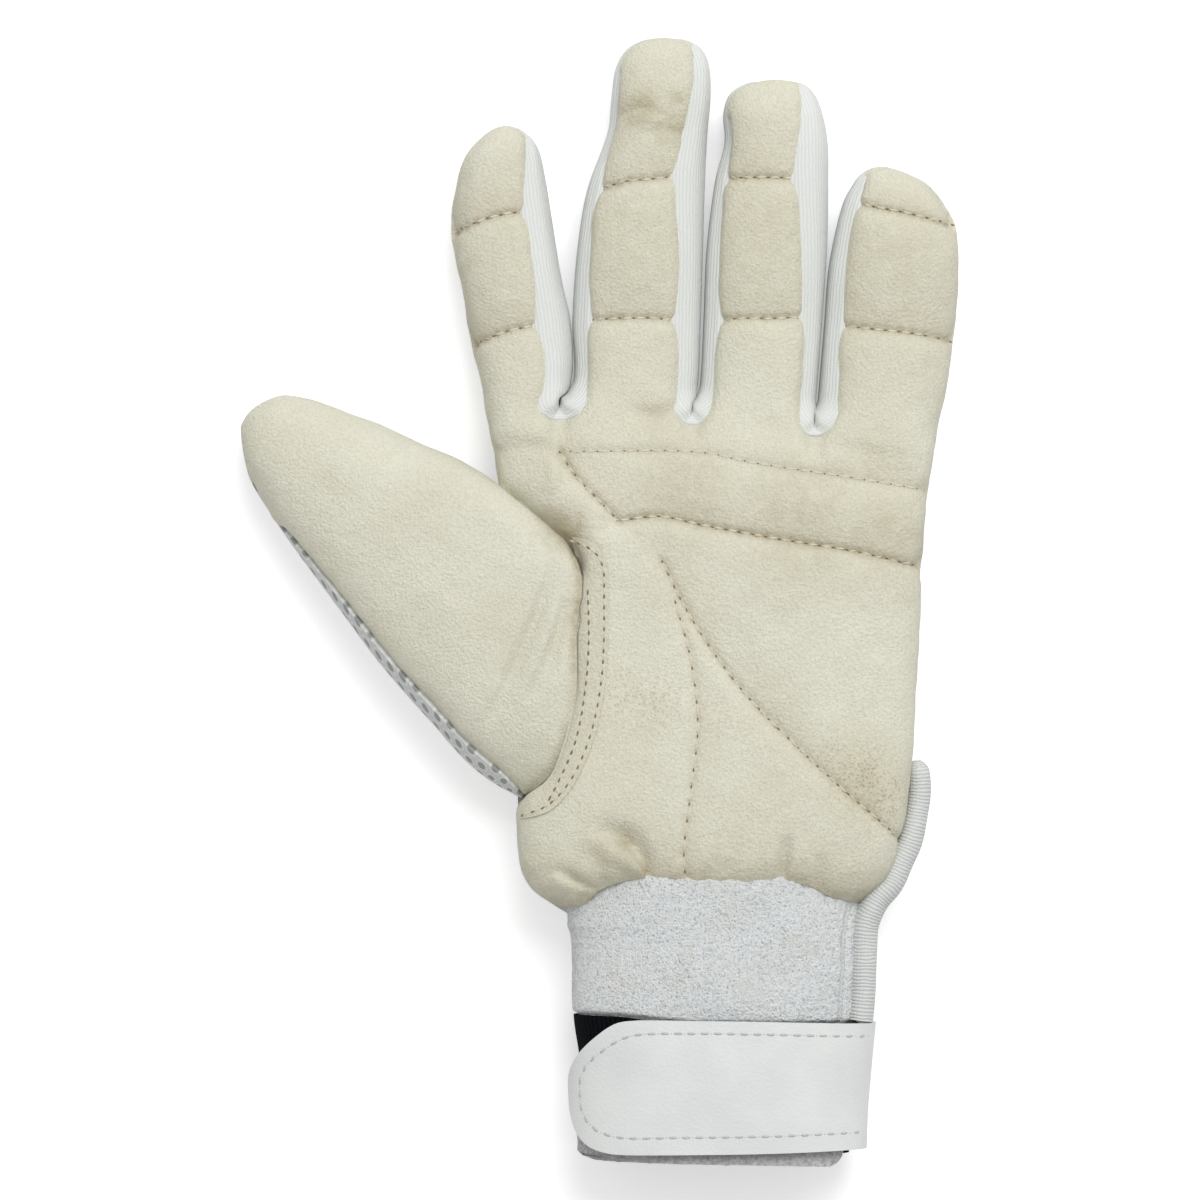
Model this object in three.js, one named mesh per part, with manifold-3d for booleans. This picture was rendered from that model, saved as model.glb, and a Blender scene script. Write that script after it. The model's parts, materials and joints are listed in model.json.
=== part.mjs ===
// Left-hand inner glove for a wicket keeper, lying on its back with the palm up.
// Millimetres, +Z up, +Y towards the finger tips, -X towards the thumb. The table is at z = 0.

import * as THREE from "three";
import { mergeVertices } from "three/addons/utils/BufferGeometryUtils.js";
import Module from "manifold-3d";

const wasm = await Module();
wasm.setup();

// Thickness of each material
const LEATHER = 1.0;
const FOAM = 4.0;
const FOAM_EDGE = 1.2; // foam left under a sewn seam
const FOAM_MARGIN = 2.4; // the foam stops this far short of the leather's edge
const BACK = 1.6; // spacer mesh of the back
const KNIT = 1.2; // side strips between the fingers
const TERRY = 2.2; // cuff
const BAND = 1.6; // wrist band
const LOOP = 1.0;
const HOOK = 0.8;
const STRAP = 1.4;
const WELT = 1.0;

// Clearances
const GAP = 0.3; // between two pieces sewn together
const BACK_GAP = 0.6; // between a finger's side and its back
const FOLD_GAP = 0.6; // between two links at a fold
const HEEL_GAP = 1.6; // between the gathered heel and the cuff
const THUMB_GAP = 0.8; // around the base of the thumb

// Reach of the glove from the middle of the hand
const INDEX_TIP = 108.8;
const MIDDLE_TIP = 129;
const RING_TIP = 119.4;
const LITTLE_TIP = 99.3;
const LITTLE_SIDE = 82; // towards +X
const THUMB_TIP = -83.2; // towards -X

// Heights above the table
const KNUCKLE_TOP = 28;
const WEB_TOP = 25.5;
const FINGER_TOP = 23;
const TIP_TOP = 21;
const PALM_TOP = 31;
const HEEL_TOP = 34;
const CUFF_TOP = 31;
const THUMB_TOP = 29;
const TIP_CLOSE = 0.25; // share of the last section left open at a tip
const FLOOR_DIP = 1.5; // part of the rounded section that the table presses flat

const LEAST_RISE = 3; // a section flatter than this turns no further

// Sewn seams
const SEAM_DEPTH = 2.4; // how far a palm seam draws the leather in
const FINGER_PINCH = 5; // how far a finger seam draws the finger in
const KNUCKLE_PINCH = 6;
const MIDDLE_BEND = 80; // degrees, largest bend at the middle seam of a finger
const TIP_BEND = 55;
const KNUCKLE_BEND = 70;

// Roundness of a section: 2 is an ellipse, larger is boxier
const FINGER_ROUND = 2.6;
const SHARED_ROUND = 8; // finger sides that still hang together at the knuckles
const PALM_ROUND = 4;
const CUFF_ROUND = 2.6;

// Angles round a section, 0 at the right, 90 on top
const BACK_RIGHT = -20; // finger back starts here
const BACK_LEFT = 200;
const FRONT_RIGHT = 30; // padded front of a finger side that has no strip
const FRONT_LEFT = 150;
const TURN = 360;
const BACK_TURN = 3; // gap between the palm leather and the hand back
const PALM_DROP = 8; // the palm leather ends this far below the middle of the side
const SIDE_SHARE = 0.88; // share of the half width where the palm turns down its side
const SHARED_EDGE = 1; // leather stops this far short of a shared side
const EDGE_LIMIT = 0.24; // share of the width that one edge margin may take
const TRIM_LIMIT = 0.8; // share of the outermost column that a trim may take

// Rows and columns of the sheets
const FRONT_COLUMNS = 6;
const SIDE_COLUMNS = 3;
const BACK_COLUMNS = 6;
const THUMB_FRONT_COLUMNS = 7;
const THUMB_SIDE_COLUMNS = 2;
const THUMB_BACK_COLUMNS = 8;
const HAND_BACK_COLUMNS = 10;
const CUFF_ROWS = 5;
const BAND_ROWS = 4;
const RING_COLUMNS = 24;
const WELT_ROWS = 6;
const PATCH_COLUMNS = 12;
const PATCH_ROWS = [0, 0.04, 0.15, 0.35, 0.65, 0.85, 0.96, 1]; // shares, closer at the rounded corners
const BINDING_ROWS = 9;
const BINDING_COLUMNS = 10;
const LEAST_ROW = 0.3; // rungs between the shoulder of a tip and its next row
const BISECTIONS = 40;

// Strap and wrist
const CUFF_START = -71;
const BAND_START = -96;
const BAND_END = -127;
const STRAP_START = BAND_START - 0.6;
const STRAP_END = BAND_END + 1.4;
const STRAP_TURN = 14; // degrees round the section where the tab turns over
const STRAP_TIP = 166;
const STRAP_ROUND = 7; // rounding of the strap tip
const HOOK_MARGIN = 3.5;
const HOOK_TURN = 10; // degrees between the ends of the loop patch and of the hook patch
const ROOT_START = STRAP_TURN - 4; // strap root, degrees
const ROOT_END = -38;
const LOOP_START = BAND_START - 7;
const LOOP_END = BAND_END - 2.3;
const LOOP_RIGHT = 30;
const LOOP_LEFT = 160;
const LOOP_ROUND = 4;

// Binding on the little-finger side
const BINDING_WIDTH = 4.4;
const BINDING_HEIGHT = 7;
const BINDING_LEVEL = 15;
const BINDING_START = -36;
const BINDING_END = BAND_START + 1;
const BINDING_TAPER = 0.5; // share of the roll left at its upper end

const CHAMOIS = { color: 0xddd6be, roughness: 0.95, metalness: 0 };
const FOAM_WHITE = { color: 0xe8e4d6, roughness: 0.9, metalness: 0 };
const MESH_WHITE = { color: 0xe9eaec, roughness: 0.85, metalness: 0 };
const KNIT_WHITE = { color: 0xeeeff2, roughness: 0.85, metalness: 0 };
const TERRY_WHITE = { color: 0xf0f0f0, roughness: 1, metalness: 0 };
const BAND_BLACK = { color: 0x1c1c1e, roughness: 0.95, metalness: 0 };
const LOOP_GREY = { color: 0x8f9092, roughness: 1, metalness: 0 };
const HOOK_GREY = { color: 0xa9aaac, roughness: 0.7, metalness: 0 };
const STRAP_WHITE = { color: 0xf2f2f2, roughness: 0.45, metalness: 0 };

// A rung crosses the glove from its left outline to its right outline.
function rung(leftX, leftY, rightX, rightY, top, bottom = 0) {
  return {
    left: new THREE.Vector3(leftX, leftY, 0),
    right: new THREE.Vector3(rightX, rightY, 0),
    top,
    bottom,
  };
}

// Each finger runs from the knuckle seam (rung 0) past the web (1), middle seam (2) and tip seam (4).
const WEB = 1;
const MIDDLE_SEAM = 2;
const TIP_SEAM = 4;
const FINGERS = [
  {
    name: "index",
    strips: { left: 0, right: 5.4 },
    rungs: [
      rung(-24.5, 34.5, -9.6, 33, KNUCKLE_TOP),
      rung(-26, 42, -7.8, 42, WEB_TOP),
      rung(-30.5, 59, -7.6, 63.5, FINGER_TOP),
      rung(-33, 73, -9.5, 76, FINGER_TOP),
      rung(-34.5, 85, -12, 90, TIP_TOP + 1),
      rung(-34, INDEX_TIP - 12.3, -13, INDEX_TIP - 10.3, TIP_TOP),
      rung(-32.5, INDEX_TIP - 6.8, -14, INDEX_TIP - 5.3, TIP_TOP - 1),
      rung(-30, INDEX_TIP - 3.3, -16, INDEX_TIP - 2.3, TIP_TOP - 3.5, 1.5),
      rung(-26.5, INDEX_TIP - 0.1, -19, INDEX_TIP, TIP_TOP - 7.5, 4.5),
    ],
  },
  {
    name: "middle",
    strips: { left: 2.2, right: 4.8 },
    rungs: [
      rung(-8.4, 33, 20.4, 30.5, KNUCKLE_TOP),
      rung(-6.3, 42.5, 21.2, 41.5, WEB_TOP),
      rung(-6, 64.3, 22.7, 64.3, FINGER_TOP),
      rung(-5.5, 80.5, 23.4, 80.5, FINGER_TOP),
      rung(-3, 95.5, 24, 96.8, TIP_TOP + 1),
      rung(2, MIDDLE_TIP - 21, 24.5, MIDDLE_TIP - 21, TIP_TOP),
      rung(2.5, MIDDLE_TIP - 13, 25.3, MIDDLE_TIP - 13, TIP_TOP),
      rung(3, MIDDLE_TIP - 6.5, 25, MIDDLE_TIP - 6.5, TIP_TOP - 1),
      rung(5.5, MIDDLE_TIP - 2.7, 23.5, MIDDLE_TIP - 2.7, TIP_TOP - 3.5, 1.5),
      rung(10, MIDDLE_TIP, 19.5, MIDDLE_TIP, TIP_TOP - 7.5, 4.5),
    ],
  },
  {
    name: "ring",
    strips: { left: 2, right: 5 },
    rungs: [
      rung(21.6, 30.4, 48.4, 28, KNUCKLE_TOP),
      rung(22.6, 41.5, 48.5, 39.5, WEB_TOP),
      rung(24.3, 64.2, 50, 64.4, FINGER_TOP),
      rung(25.1, 80.5, 51.8, 80.5, FINGER_TOP),
      rung(27, 96.5, 52.5, 96.5, TIP_TOP + 1),
      rung(28.5, RING_TIP - 13.9, 52.5, RING_TIP - 13.9, TIP_TOP),
      rung(28, RING_TIP - 6.9, 51, RING_TIP - 6.4, TIP_TOP - 1),
      rung(29.5, RING_TIP - 2.9, 49, RING_TIP - 2.9, TIP_TOP - 3.5, 1.5),
      rung(34, RING_TIP, 45, RING_TIP, TIP_TOP - 7.5, 4.5),
    ],
  },
  {
    name: "little",
    strips: { left: 2.8, right: 0 },
    rungs: [
      rung(49.6, 27.9, 75, 25.5, KNUCKLE_TOP),
      rung(50, 39.5, 77.5, 40, WEB_TOP),
      rung(51.5, 63.5, LITTLE_SIDE - 1.5, 60.5, FINGER_TOP),
      rung(53.4, 77.5, LITTLE_SIDE, 76, FINGER_TOP),
      rung(56, LITTLE_TIP - 9, LITTLE_SIDE - 1.5, LITTLE_TIP - 11.8, TIP_TOP + 1),
      rung(57.5, LITTLE_TIP - 4.8, LITTLE_SIDE - 4.5, LITTLE_TIP - 6.3, TIP_TOP - 1),
      rung(59.5, LITTLE_TIP - 2, LITTLE_SIDE - 8.5, LITTLE_TIP - 2.5, TIP_TOP - 3.5, 1.5),
      rung(62.5, LITTLE_TIP, LITTLE_SIDE - 14, LITTLE_TIP, TIP_TOP - 7.5, 4.5),
    ],
  },
];

// The hand runs from the knuckle seam down to the hem of the wrist band.
const HAND = [
  rung(-24.5, 34.5, 75, 25.5, KNUCKLE_TOP),
  rung(-23, 23, 74.5, 18.5, PALM_TOP - 1),
  rung(-22, 9, 73.5, 7, PALM_TOP),
  rung(-21.5, -9.5, 73, -9.5, PALM_TOP + 1),
  rung(-20.5, -27.5, 72, -27.5, HEEL_TOP - 1),
  rung(-20, -44, 70.5, -44, HEEL_TOP),
  rung(-19, -53, 70, -53, HEEL_TOP),
  rung(-17.5, -62, 67, -62, HEEL_TOP - 0.5),
  rung(-11, -69, 61.5, -69, CUFF_TOP + 0.5),
  rung(-7.5, -75, 60.5, -75, CUFF_TOP),
  rung(-6.5, -84, 60.5, -84, CUFF_TOP),
  rung(-6, -96, 59.5, -96, CUFF_TOP),
  rung(-4.5, -106, 58, -106, CUFF_TOP),
  rung(-4.5, -118, 57.5, -118, CUFF_TOP),
  rung(-4, BAND_END - 4, 57, BAND_END - 4, CUFF_TOP),
];
const HAND_PALM_RUNGS = 7; // rungs with the boxy palm section

// The thumb runs from its seam on the palm out to its tip.
const THUMB = [
  rung(-11, -45.5, -6, 13.5, THUMB_TOP + 0.5),
  rung(-28, -40, -18.5, 23.5, THUMB_TOP),
  rung(-39.5, -28, -31, 31.5, THUMB_TOP - 1),
  rung(-51, -15, -43, 36.5, THUMB_TOP - 2),
  rung(-61, -1, -53, 41, THUMB_TOP - 4),
  rung(-69, 10, -61, 44, THUMB_TOP - 6),
  rung(-76, 21, -68, 46, THUMB_TOP - 7.5),
  rung(THUMB_TIP + 2.7, 27.5, THUMB_TIP + 9.7, 46.8, THUMB_TOP - 9.5, 1),
  rung(THUMB_TIP + 0.5, 33, THUMB_TIP + 5.2, 46, THUMB_TOP - 12.5, 3),
  rung(THUMB_TIP, 37.5, THUMB_TIP + 2.2, 43.8, THUMB_TOP - 16, 6),
];
const THUMB_MESH = 3; // width of mesh seen beside the thumb leather
const WELT_WIDTH = 6.5;
const WELT_START = 0.04; // share of the thumb seam, from the crotch
const WELT_END = 0.94;
const THUMB_WRAP = -15; // the leather turns round the upper side to here, degrees
const THUMB_BASE = 4; // rungs of the thumb that lie beside the palm
const ROOM_DEPTH = 60; // block that clears the thumb's room, and how far it starts below the table
const ROOM_DROP = 10;

// Seams of the palm
const DIAGONAL_START = [-9.5, 32.5];
const DIAGONAL_END = [4.5, 18.5];
const PALM_SEAM_END_Y = 7.5;
const HEEL_SEAM_START = 0.13; // share of the palm seam where the heel seam leaves it
const HEEL_FORK = 0.12; // share of the heel seam where the slanted seam leaves it
const SLANT_END_Y = -54.5;
const HEEL_SEAM_FOOT = [19.5, -68.5];

const radians = THREE.MathUtils.degToRad;
const clamp = THREE.MathUtils.clamp;
const lerp = THREE.MathUtils.lerp;

function spread(from, to, count) {
  return Array.from({ length: count + 1 }, (_, k) => lerp(from, to, k / count));
}

// Shoulder that a seam needs so that the links on either side can bend towards each other.
function fold(at, depth, bend) {
  return { at, depth, shoulder: FOLD_GAP + depth * Math.tan(radians(bend / 2)) };
}

// A run of rungs with a rounded section between each left and right outline.
class Ladder {
  constructor(rungs, { folds = [], round = () => [FINGER_ROUND, FINGER_ROUND] } = {}) {
    this.rungs = rungs;
    this.last = rungs.length - 1;
    this.folds = folds;
    this.round = round;
    this.left = new THREE.CatmullRomCurve3(rungs.map((each) => each.left));
    this.right = new THREE.CatmullRomCurve3(rungs.map((each) => each.right));
  }

  value(key, t) {
    const low = clamp(Math.floor(t), 0, this.last - 1);
    return lerp(this.rungs[low][key], this.rungs[low + 1][key], t - low);
  }

  ends(t) {
    const share = clamp(t / this.last, 0, 1);
    return [this.left.getPoint(share), this.right.getPoint(share)];
  }

  centre(t) {
    const [left, right] = this.ends(t);
    return left.add(right).multiplyScalar(0.5);
  }

  width(t) {
    const [left, right] = this.ends(t);
    return left.distanceTo(right);
  }

  // Moves along the ladder by a distance in millimetres.
  step(t, distance) {
    const probe = 0.02;
    const near = clamp(t, probe, this.last - probe);
    const speed = this.centre(near + probe).distanceTo(this.centre(near - probe)) / (2 * probe);
    return t + distance / speed;
  }

  // The rung position at a height y on the centre line.
  atY(y) {
    let low = 0;
    let high = this.last;
    for (let k = 0; k < BISECTIONS; k += 1) {
      const middle = (low + high) / 2;
      if (this.centre(middle).y > y) low = middle;
      else high = middle;
    }
    return low;
  }

  // Share of the full pinch at a rung position, 1 at a fold and 0 beyond its shoulder.
  pinchShare(t, each) {
    const away = this.centre(t).distanceTo(this.centre(each.at));
    return clamp((each.shoulder - away) / (each.shoulder - FOLD_GAP / 2), 0, 1);
  }

  pinch(t) {
    return this.folds.reduce((sum, each) => sum + each.depth * this.pinchShare(t, each), 0);
  }

  pinched(t) {
    return Math.max(0, ...this.folds.map((each) => this.pinchShare(t, each)));
  }

  section(t) {
    const [left, right] = this.ends(t);
    const across = right.clone().sub(left);
    const half = across.length() / 2;
    const top = this.value("top", t) - this.pinch(t);
    const bottom = this.value("bottom", t) - FLOOR_DIP;
    return {
      centre: left.add(right).multiplyScalar(0.5),
      across: across.normalize(),
      half,
      middle: (top + bottom) / 2,
      rise: (top - bottom) / 2,
      round: this.round(t),
    };
  }

  // A point of the section, `inset` inside its outer skin, drawn to the section's centre by `scale`.
  point(t, angle, inset, scale = 1) {
    const { centre, across, half, middle, rise, round } = this.section(t);
    const cosine = Math.cos(radians(angle));
    const sine = Math.sin(radians(angle));
    const power = 2 / round[cosine < 0 ? 0 : 1];
    const sideways = Math.sign(cosine) * Math.abs(cosine) ** power * (half - inset) * scale;
    const upwards = Math.sign(sine) * Math.abs(sine) ** power * (rise - inset) * scale;
    const point = centre.addScaledVector(across, sideways);
    point.z = Math.max(middle + upwards, inset);
    return point;
  }

  // The angle on top of the section that lies `margin` inside the left or right outline.
  edgeAngle(t, margin, side) {
    const round = this.round(t)[side < 0 ? 0 : 1];
    const share = 1 - (2 * Math.min(margin, this.width(t) * EDGE_LIMIT)) / this.width(t);
    const angle = THREE.MathUtils.radToDeg(Math.acos(share ** (round / 2)));
    return side < 0 ? 180 - angle : angle;
  }

  // Rung position and share across the section of a plan point, -1 at the left outline and 1 at the right.
  locate(x, y) {
    let low = 0;
    let high = this.last;
    for (let k = 0; k < BISECTIONS; k += 1) {
      const middle = (low + high) / 2;
      const [left, right] = this.ends(middle);
      const above = (right.x - left.x) * (y - left.y) - (right.y - left.y) * (x - left.x);
      if (above < 0) low = middle;
      else high = middle;
    }
    const { centre, across, half } = this.section(low);
    return { t: low, share: ((x - centre.x) * across.x + (y - centre.y) * across.y) / half };
  }

  // Angle of a share across the section; past SIDE_SHARE it turns down the side, `drop` degrees below it.
  angleOf(t, share, drop) {
    const size = Math.abs(share);
    const onTop = Math.min(size, SIDE_SHARE);
    const round = this.round(t)[share < 0 ? 0 : 1];
    const crown = THREE.MathUtils.radToDeg(Math.acos(onTop ** (round / 2)));
    const down = Math.max(0, (size - SIDE_SHARE) / (1 - SIDE_SHARE));
    const angle = lerp(crown, -drop, down);
    return share < 0 ? 180 - angle : angle;
  }

  gapAngle(t, distance) {
    return THREE.MathUtils.radToDeg(distance / Math.max(this.section(t).rise, LEAST_RISE));
  }
}

// A closed sheet between two grids of points. Cells that `holds` leaves out stay open.
function sheet(outer, inner, { holds = () => true, wrap = false } = {}) {
  const rows = outer.length - 1;
  const columns = wrap ? outer[0].length : outer[0].length - 1;
  const turn = (j) => j % outer[0].length;
  const filled = (i, j) => {
    const column = wrap ? (j + columns) % columns : j;
    return i >= 0 && i < rows && column >= 0 && column < columns && holds(i, column);
  };
  const positions = [];
  const quad = (a, b, c, d) => {
    for (const corner of [a, b, c, a, c, d]) positions.push(corner.x, corner.y, corner.z);
  };
  for (let i = 0; i < rows; i += 1) {
    for (let j = 0; j < columns; j += 1) {
      if (!filled(i, j)) continue;
      const corners = [[i, j], [i, turn(j + 1)], [i + 1, turn(j + 1)], [i + 1, j]];
      const [a, b, c, d] = corners.map(([row, column]) => outer[row][column]);
      const [e, f, g, h] = corners.map(([row, column]) => inner[row][column]);
      quad(a, b, c, d);
      quad(e, h, g, f);
      if (!filled(i - 1, j)) quad(b, a, e, f);
      if (!filled(i, j + 1)) quad(c, b, f, g);
      if (!filled(i + 1, j)) quad(d, c, g, h);
      if (!filled(i, j - 1)) quad(a, d, h, e);
    }
  }
  return outwards(geometryOf(positions));
}

function geometryOf(positions) {
  const geometry = new THREE.BufferGeometry();
  geometry.setAttribute("position", new THREE.Float32BufferAttribute(positions, 3));
  return geometry;
}

// Turns the faces over when they enclose a negative volume.
function outwards(geometry) {
  const place = geometry.getAttribute("position");
  const [a, b, c] = [new THREE.Vector3(), new THREE.Vector3(), new THREE.Vector3()];
  let volume = 0;
  for (let k = 0; k < place.count; k += 3) {
    a.fromBufferAttribute(place, k);
    b.fromBufferAttribute(place, k + 1);
    c.fromBufferAttribute(place, k + 2);
    volume += a.dot(b.cross(c));
  }
  if (volume >= 0) return geometry;
  const turned = [];
  for (let k = 0; k < place.count; k += 3) {
    for (const corner of [k, k + 2, k + 1]) {
      turned.push(place.getX(corner), place.getY(corner), place.getZ(corner));
    }
  }
  return geometryOf(turned);
}

function toManifold(geometry) {
  const merged = mergeVertices(geometry, 1e-4);
  return new wasm.Manifold(
    new wasm.Mesh({
      numProp: 3,
      vertProperties: new Float32Array(merged.getAttribute("position").array),
      triVerts: new Uint32Array(merged.getIndex().array),
    }),
  );
}

function fromManifold(solid) {
  const mesh = solid.getMesh();
  const geometry = new THREE.BufferGeometry();
  geometry.setAttribute("position", new THREE.BufferAttribute(mesh.vertProperties, 3));
  geometry.setIndex(new THREE.BufferAttribute(mesh.triVerts, 1));
  return geometry.toNonIndexed();
}

const group = new THREE.Group();
group.name = "inner_glove";

function add(name, geometry, finish) {
  geometry.computeVertexNormals();
  const mesh = new THREE.Mesh(geometry, new THREE.MeshStandardMaterial(finish));
  mesh.name = name;
  group.add(mesh);
}

// Grid of points of a ladder: rows of rung positions, each with its own list of angles.
function grid(ladder, rows, angles, inset) {
  return rows.map((row) =>
    angles(row.t).map((angle, k, list) =>
      ladder.point(row.t, angle, inset(row.t, k / (list.length - 1)), row.scale),
    ),
  );
}

// Draws both ends of a row of points in along the row itself.
function trimmed(row, distance) {
  const moved = (edge, next) => {
    const share = Math.min(distance / edge.distanceTo(next), TRIM_LIMIT);
    return edge.clone().lerp(next, share);
  };
  return [moved(row[0], row[1]), ...row.slice(1, -1), moved(row.at(-1), row.at(-2))];
}

const constant = (inset) => (typeof inset === "function" ? inset : () => inset);

function panel(ladder, rows, angles, outerInset, innerInset, { trim = 0, wrap = false } = {}) {
  const innerRows = rows.map((row) => ({ ...row, t: row.innerT ?? row.t }));
  const outer = grid(ladder, rows, angles, constant(outerInset));
  const inner = grid(ladder, innerRows, angles, constant(innerInset));
  if (trim === 0) return sheet(outer, inner, { wrap });
  const drawnIn = (points) => points.map((row) => trimmed(row, trim));
  return sheet(drawnIn(outer), drawnIn(inner));
}

const FOAM_TRIM = { trim: FOAM_MARGIN };
const plain = (positions) => positions.map((t) => ({ t, scale: 1 }));

// Rows of a link between two folds: its ends, its shoulders and the crown between them.
function linkRows(ladder, from, to) {
  const start = ladder.step(from.at, FOLD_GAP / 2);
  const end = ladder.step(to.at, -FOLD_GAP / 2);
  const rise = ladder.step(from.at, from.shoulder);
  const drop = ladder.step(to.at, -to.shoulder);
  return plain([start, ...spread(rise, drop, 2), end]);
}

// Rows of a closed tip: the last row shrinks to a point and its inner face stays a wall behind.
function tipRows(ladder, start, rise) {
  const rungs = Array.from({ length: ladder.last }, (_, k) => k + 1);
  const domed = rungs.filter((t) => t > rise + LEAST_ROW);
  const closed = { t: ladder.last, scale: TIP_CLOSE, innerT: ladder.step(ladder.last, -BACK) };
  return [...plain([start, rise, ...domed]), closed];
}

class Finger {
  constructor({ name, strips, rungs }) {
    this.name = name;
    this.strips = strips;
    this.sharesLeft = strips.left > 0;
    this.sharesRight = strips.right > 0;
    this.knuckle = fold(0, KNUCKLE_PINCH, KNUCKLE_BEND);
    this.middle = fold(MIDDLE_SEAM, FINGER_PINCH, MIDDLE_BEND);
    this.tip = fold(TIP_SEAM, FINGER_PINCH, TIP_BEND);
    const opening = (t) => lerp(SHARED_ROUND, FINGER_ROUND, clamp(t / WEB, 0, 1));
    const joined = (t, shares) => (shares ? opening(t) : FINGER_ROUND);
    this.ladder = new Ladder(rungs, {
      folds: [this.knuckle, this.middle, this.tip],
      round: (t) => [joined(t, this.sharesLeft), joined(t, this.sharesRight)],
    });
  }

  // Width of the side strip seen from above; it starts at the web.
  strip(t, width) {
    return lerp(SHARED_EDGE, width, clamp(t / WEB, 0, 1));
  }

  frontRight(t) {
    if (!this.sharesRight) return FRONT_RIGHT;
    return this.ladder.edgeAngle(t, this.strip(t, this.strips.right), 1);
  }

  frontLeft(t) {
    if (!this.sharesLeft) return FRONT_LEFT;
    return this.ladder.edgeAngle(t, this.strip(t, this.strips.left), -1);
  }

  frontAngles(t) {
    return spread(this.frontLeft(t), this.frontRight(t), FRONT_COLUMNS);
  }

  // The leather turns round a side that has no strip, down to the back.
  leatherAngles(t) {
    const left = this.sharesLeft ? [] : spread(BACK_LEFT, FRONT_LEFT, SIDE_COLUMNS).slice(0, -1);
    const right = this.sharesRight ? [] : spread(FRONT_RIGHT, BACK_RIGHT, SIDE_COLUMNS).slice(1);
    return [...left, ...this.frontAngles(t), ...right];
  }

  backAngles(t) {
    const gap = this.ladder.gapAngle(t, BACK_GAP);
    return spread(BACK_LEFT + gap, TURN + BACK_RIGHT - gap, BACK_COLUMNS);
  }

  stripAngles(t, side) {
    const gap = this.ladder.gapAngle(t, GAP);
    if (side < 0) return spread(this.frontLeft(t) + gap, BACK_LEFT, SIDE_COLUMNS);
    return spread(this.frontRight(t) - gap, BACK_RIGHT, SIDE_COLUMNS);
  }

  foamInset(t) {
    return LEATHER + GAP + lerp(FOAM, FOAM_EDGE, this.ladder.pinched(t));
  }

  // Leather, foam, back and side strips of one link.
  addLink(part, rows, foamRows = rows) {
    const name = `${this.name}_${part}`;
    const leather = (t) => this.leatherAngles(t);
    const foam = (t) => this.frontAngles(t);
    const back = (t) => this.backAngles(t);
    add(`${name}_leather`, panel(this.ladder, rows, leather, 0, LEATHER), CHAMOIS);
    const foamUnder = (t) => this.foamInset(t);
    const pad = panel(this.ladder, foamRows, foam, LEATHER + GAP, foamUnder, FOAM_TRIM);
    add(`${name}_foam`, pad, FOAM_WHITE);
    add(`${name}_back`, panel(this.ladder, rows, back, 0, BACK), MESH_WHITE);
    const addStrip = (side, word) => {
      const angles = (t) => this.stripAngles(t, side);
      add(`${name}_${word}_strip`, panel(this.ladder, rows, angles, 0, KNIT), KNIT_WHITE);
    };
    if (this.sharesLeft) addStrip(-1, "left");
    if (this.sharesRight) addStrip(1, "right");
  }

  addMiddle() {
    this.addLink("middle", linkRows(this.ladder, this.middle, this.tip));
  }

  addTip() {
    const start = this.ladder.step(TIP_SEAM, FOLD_GAP / 2);
    const rise = this.ladder.step(TIP_SEAM, this.tip.shoulder);
    const rows = tipRows(this.ladder, start, rise);
    this.addLink("tip", rows, rows.slice(0, -2));
  }

  // Rows of the root, the same number for each finger so that they join into one sheet.
  rootRows() {
    const start = this.ladder.step(0, FOLD_GAP / 2);
    const rise = this.ladder.step(0, this.knuckle.shoulder);
    const drop = this.ladder.step(MIDDLE_SEAM, -this.middle.shoulder);
    const end = this.ladder.step(MIDDLE_SEAM, -FOLD_GAP / 2);
    return plain([start, rise, WEB, drop, end]);
  }
}

const ROOT_WEB_ROW = 2;
const fingers = FINGERS.map((each) => new Finger(each));

// One sheet over all four finger roots, slit between the fingers above the web.
function rootSheet(angles, outerInset, innerInset, trim = 0) {
  const joined = (inset) => {
    const parts = fingers.map((finger) => {
      const own = (t) => angles(finger, t);
      const part = grid(finger.ladder, finger.rootRows(), own, (t) => constant(inset)(t, finger));
      return part.map((row, k) => (trim > 0 && k > ROOT_WEB_ROW ? trimmed(row, trim) : row));
    });
    return parts[0].map((_, row) => parts.flatMap((part) => part[row]));
  };
  const slits = new Set();
  let columns = 0;
  for (const finger of fingers) {
    columns += angles(finger, 0).length;
    slits.add(columns - 1);
  }
  const holds = (row, column) => !slits.has(column) || row < ROOT_WEB_ROW;
  return sheet(joined(outerInset), joined(innerInset), { holds });
}

function addKnuckles() {
  const leather = (finger, t) => finger.leatherAngles(t);
  const foam = (finger, t) => finger.frontAngles(t);
  const back = (finger, t) => finger.backAngles(t);
  const foamInset = (t, finger) => finger.foamInset(t);
  add("knuckle_leather", rootSheet(leather, 0, LEATHER), CHAMOIS);
  add("knuckle_foam", rootSheet(foam, LEATHER + GAP, foamInset, FOAM_MARGIN), FOAM_WHITE);
  add("knuckle_back", rootSheet(back, 0, BACK), MESH_WHITE);
  for (let k = 0; k + 1 < fingers.length; k += 1) addWeb(fingers[k], fingers[k + 1]);
}

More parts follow.
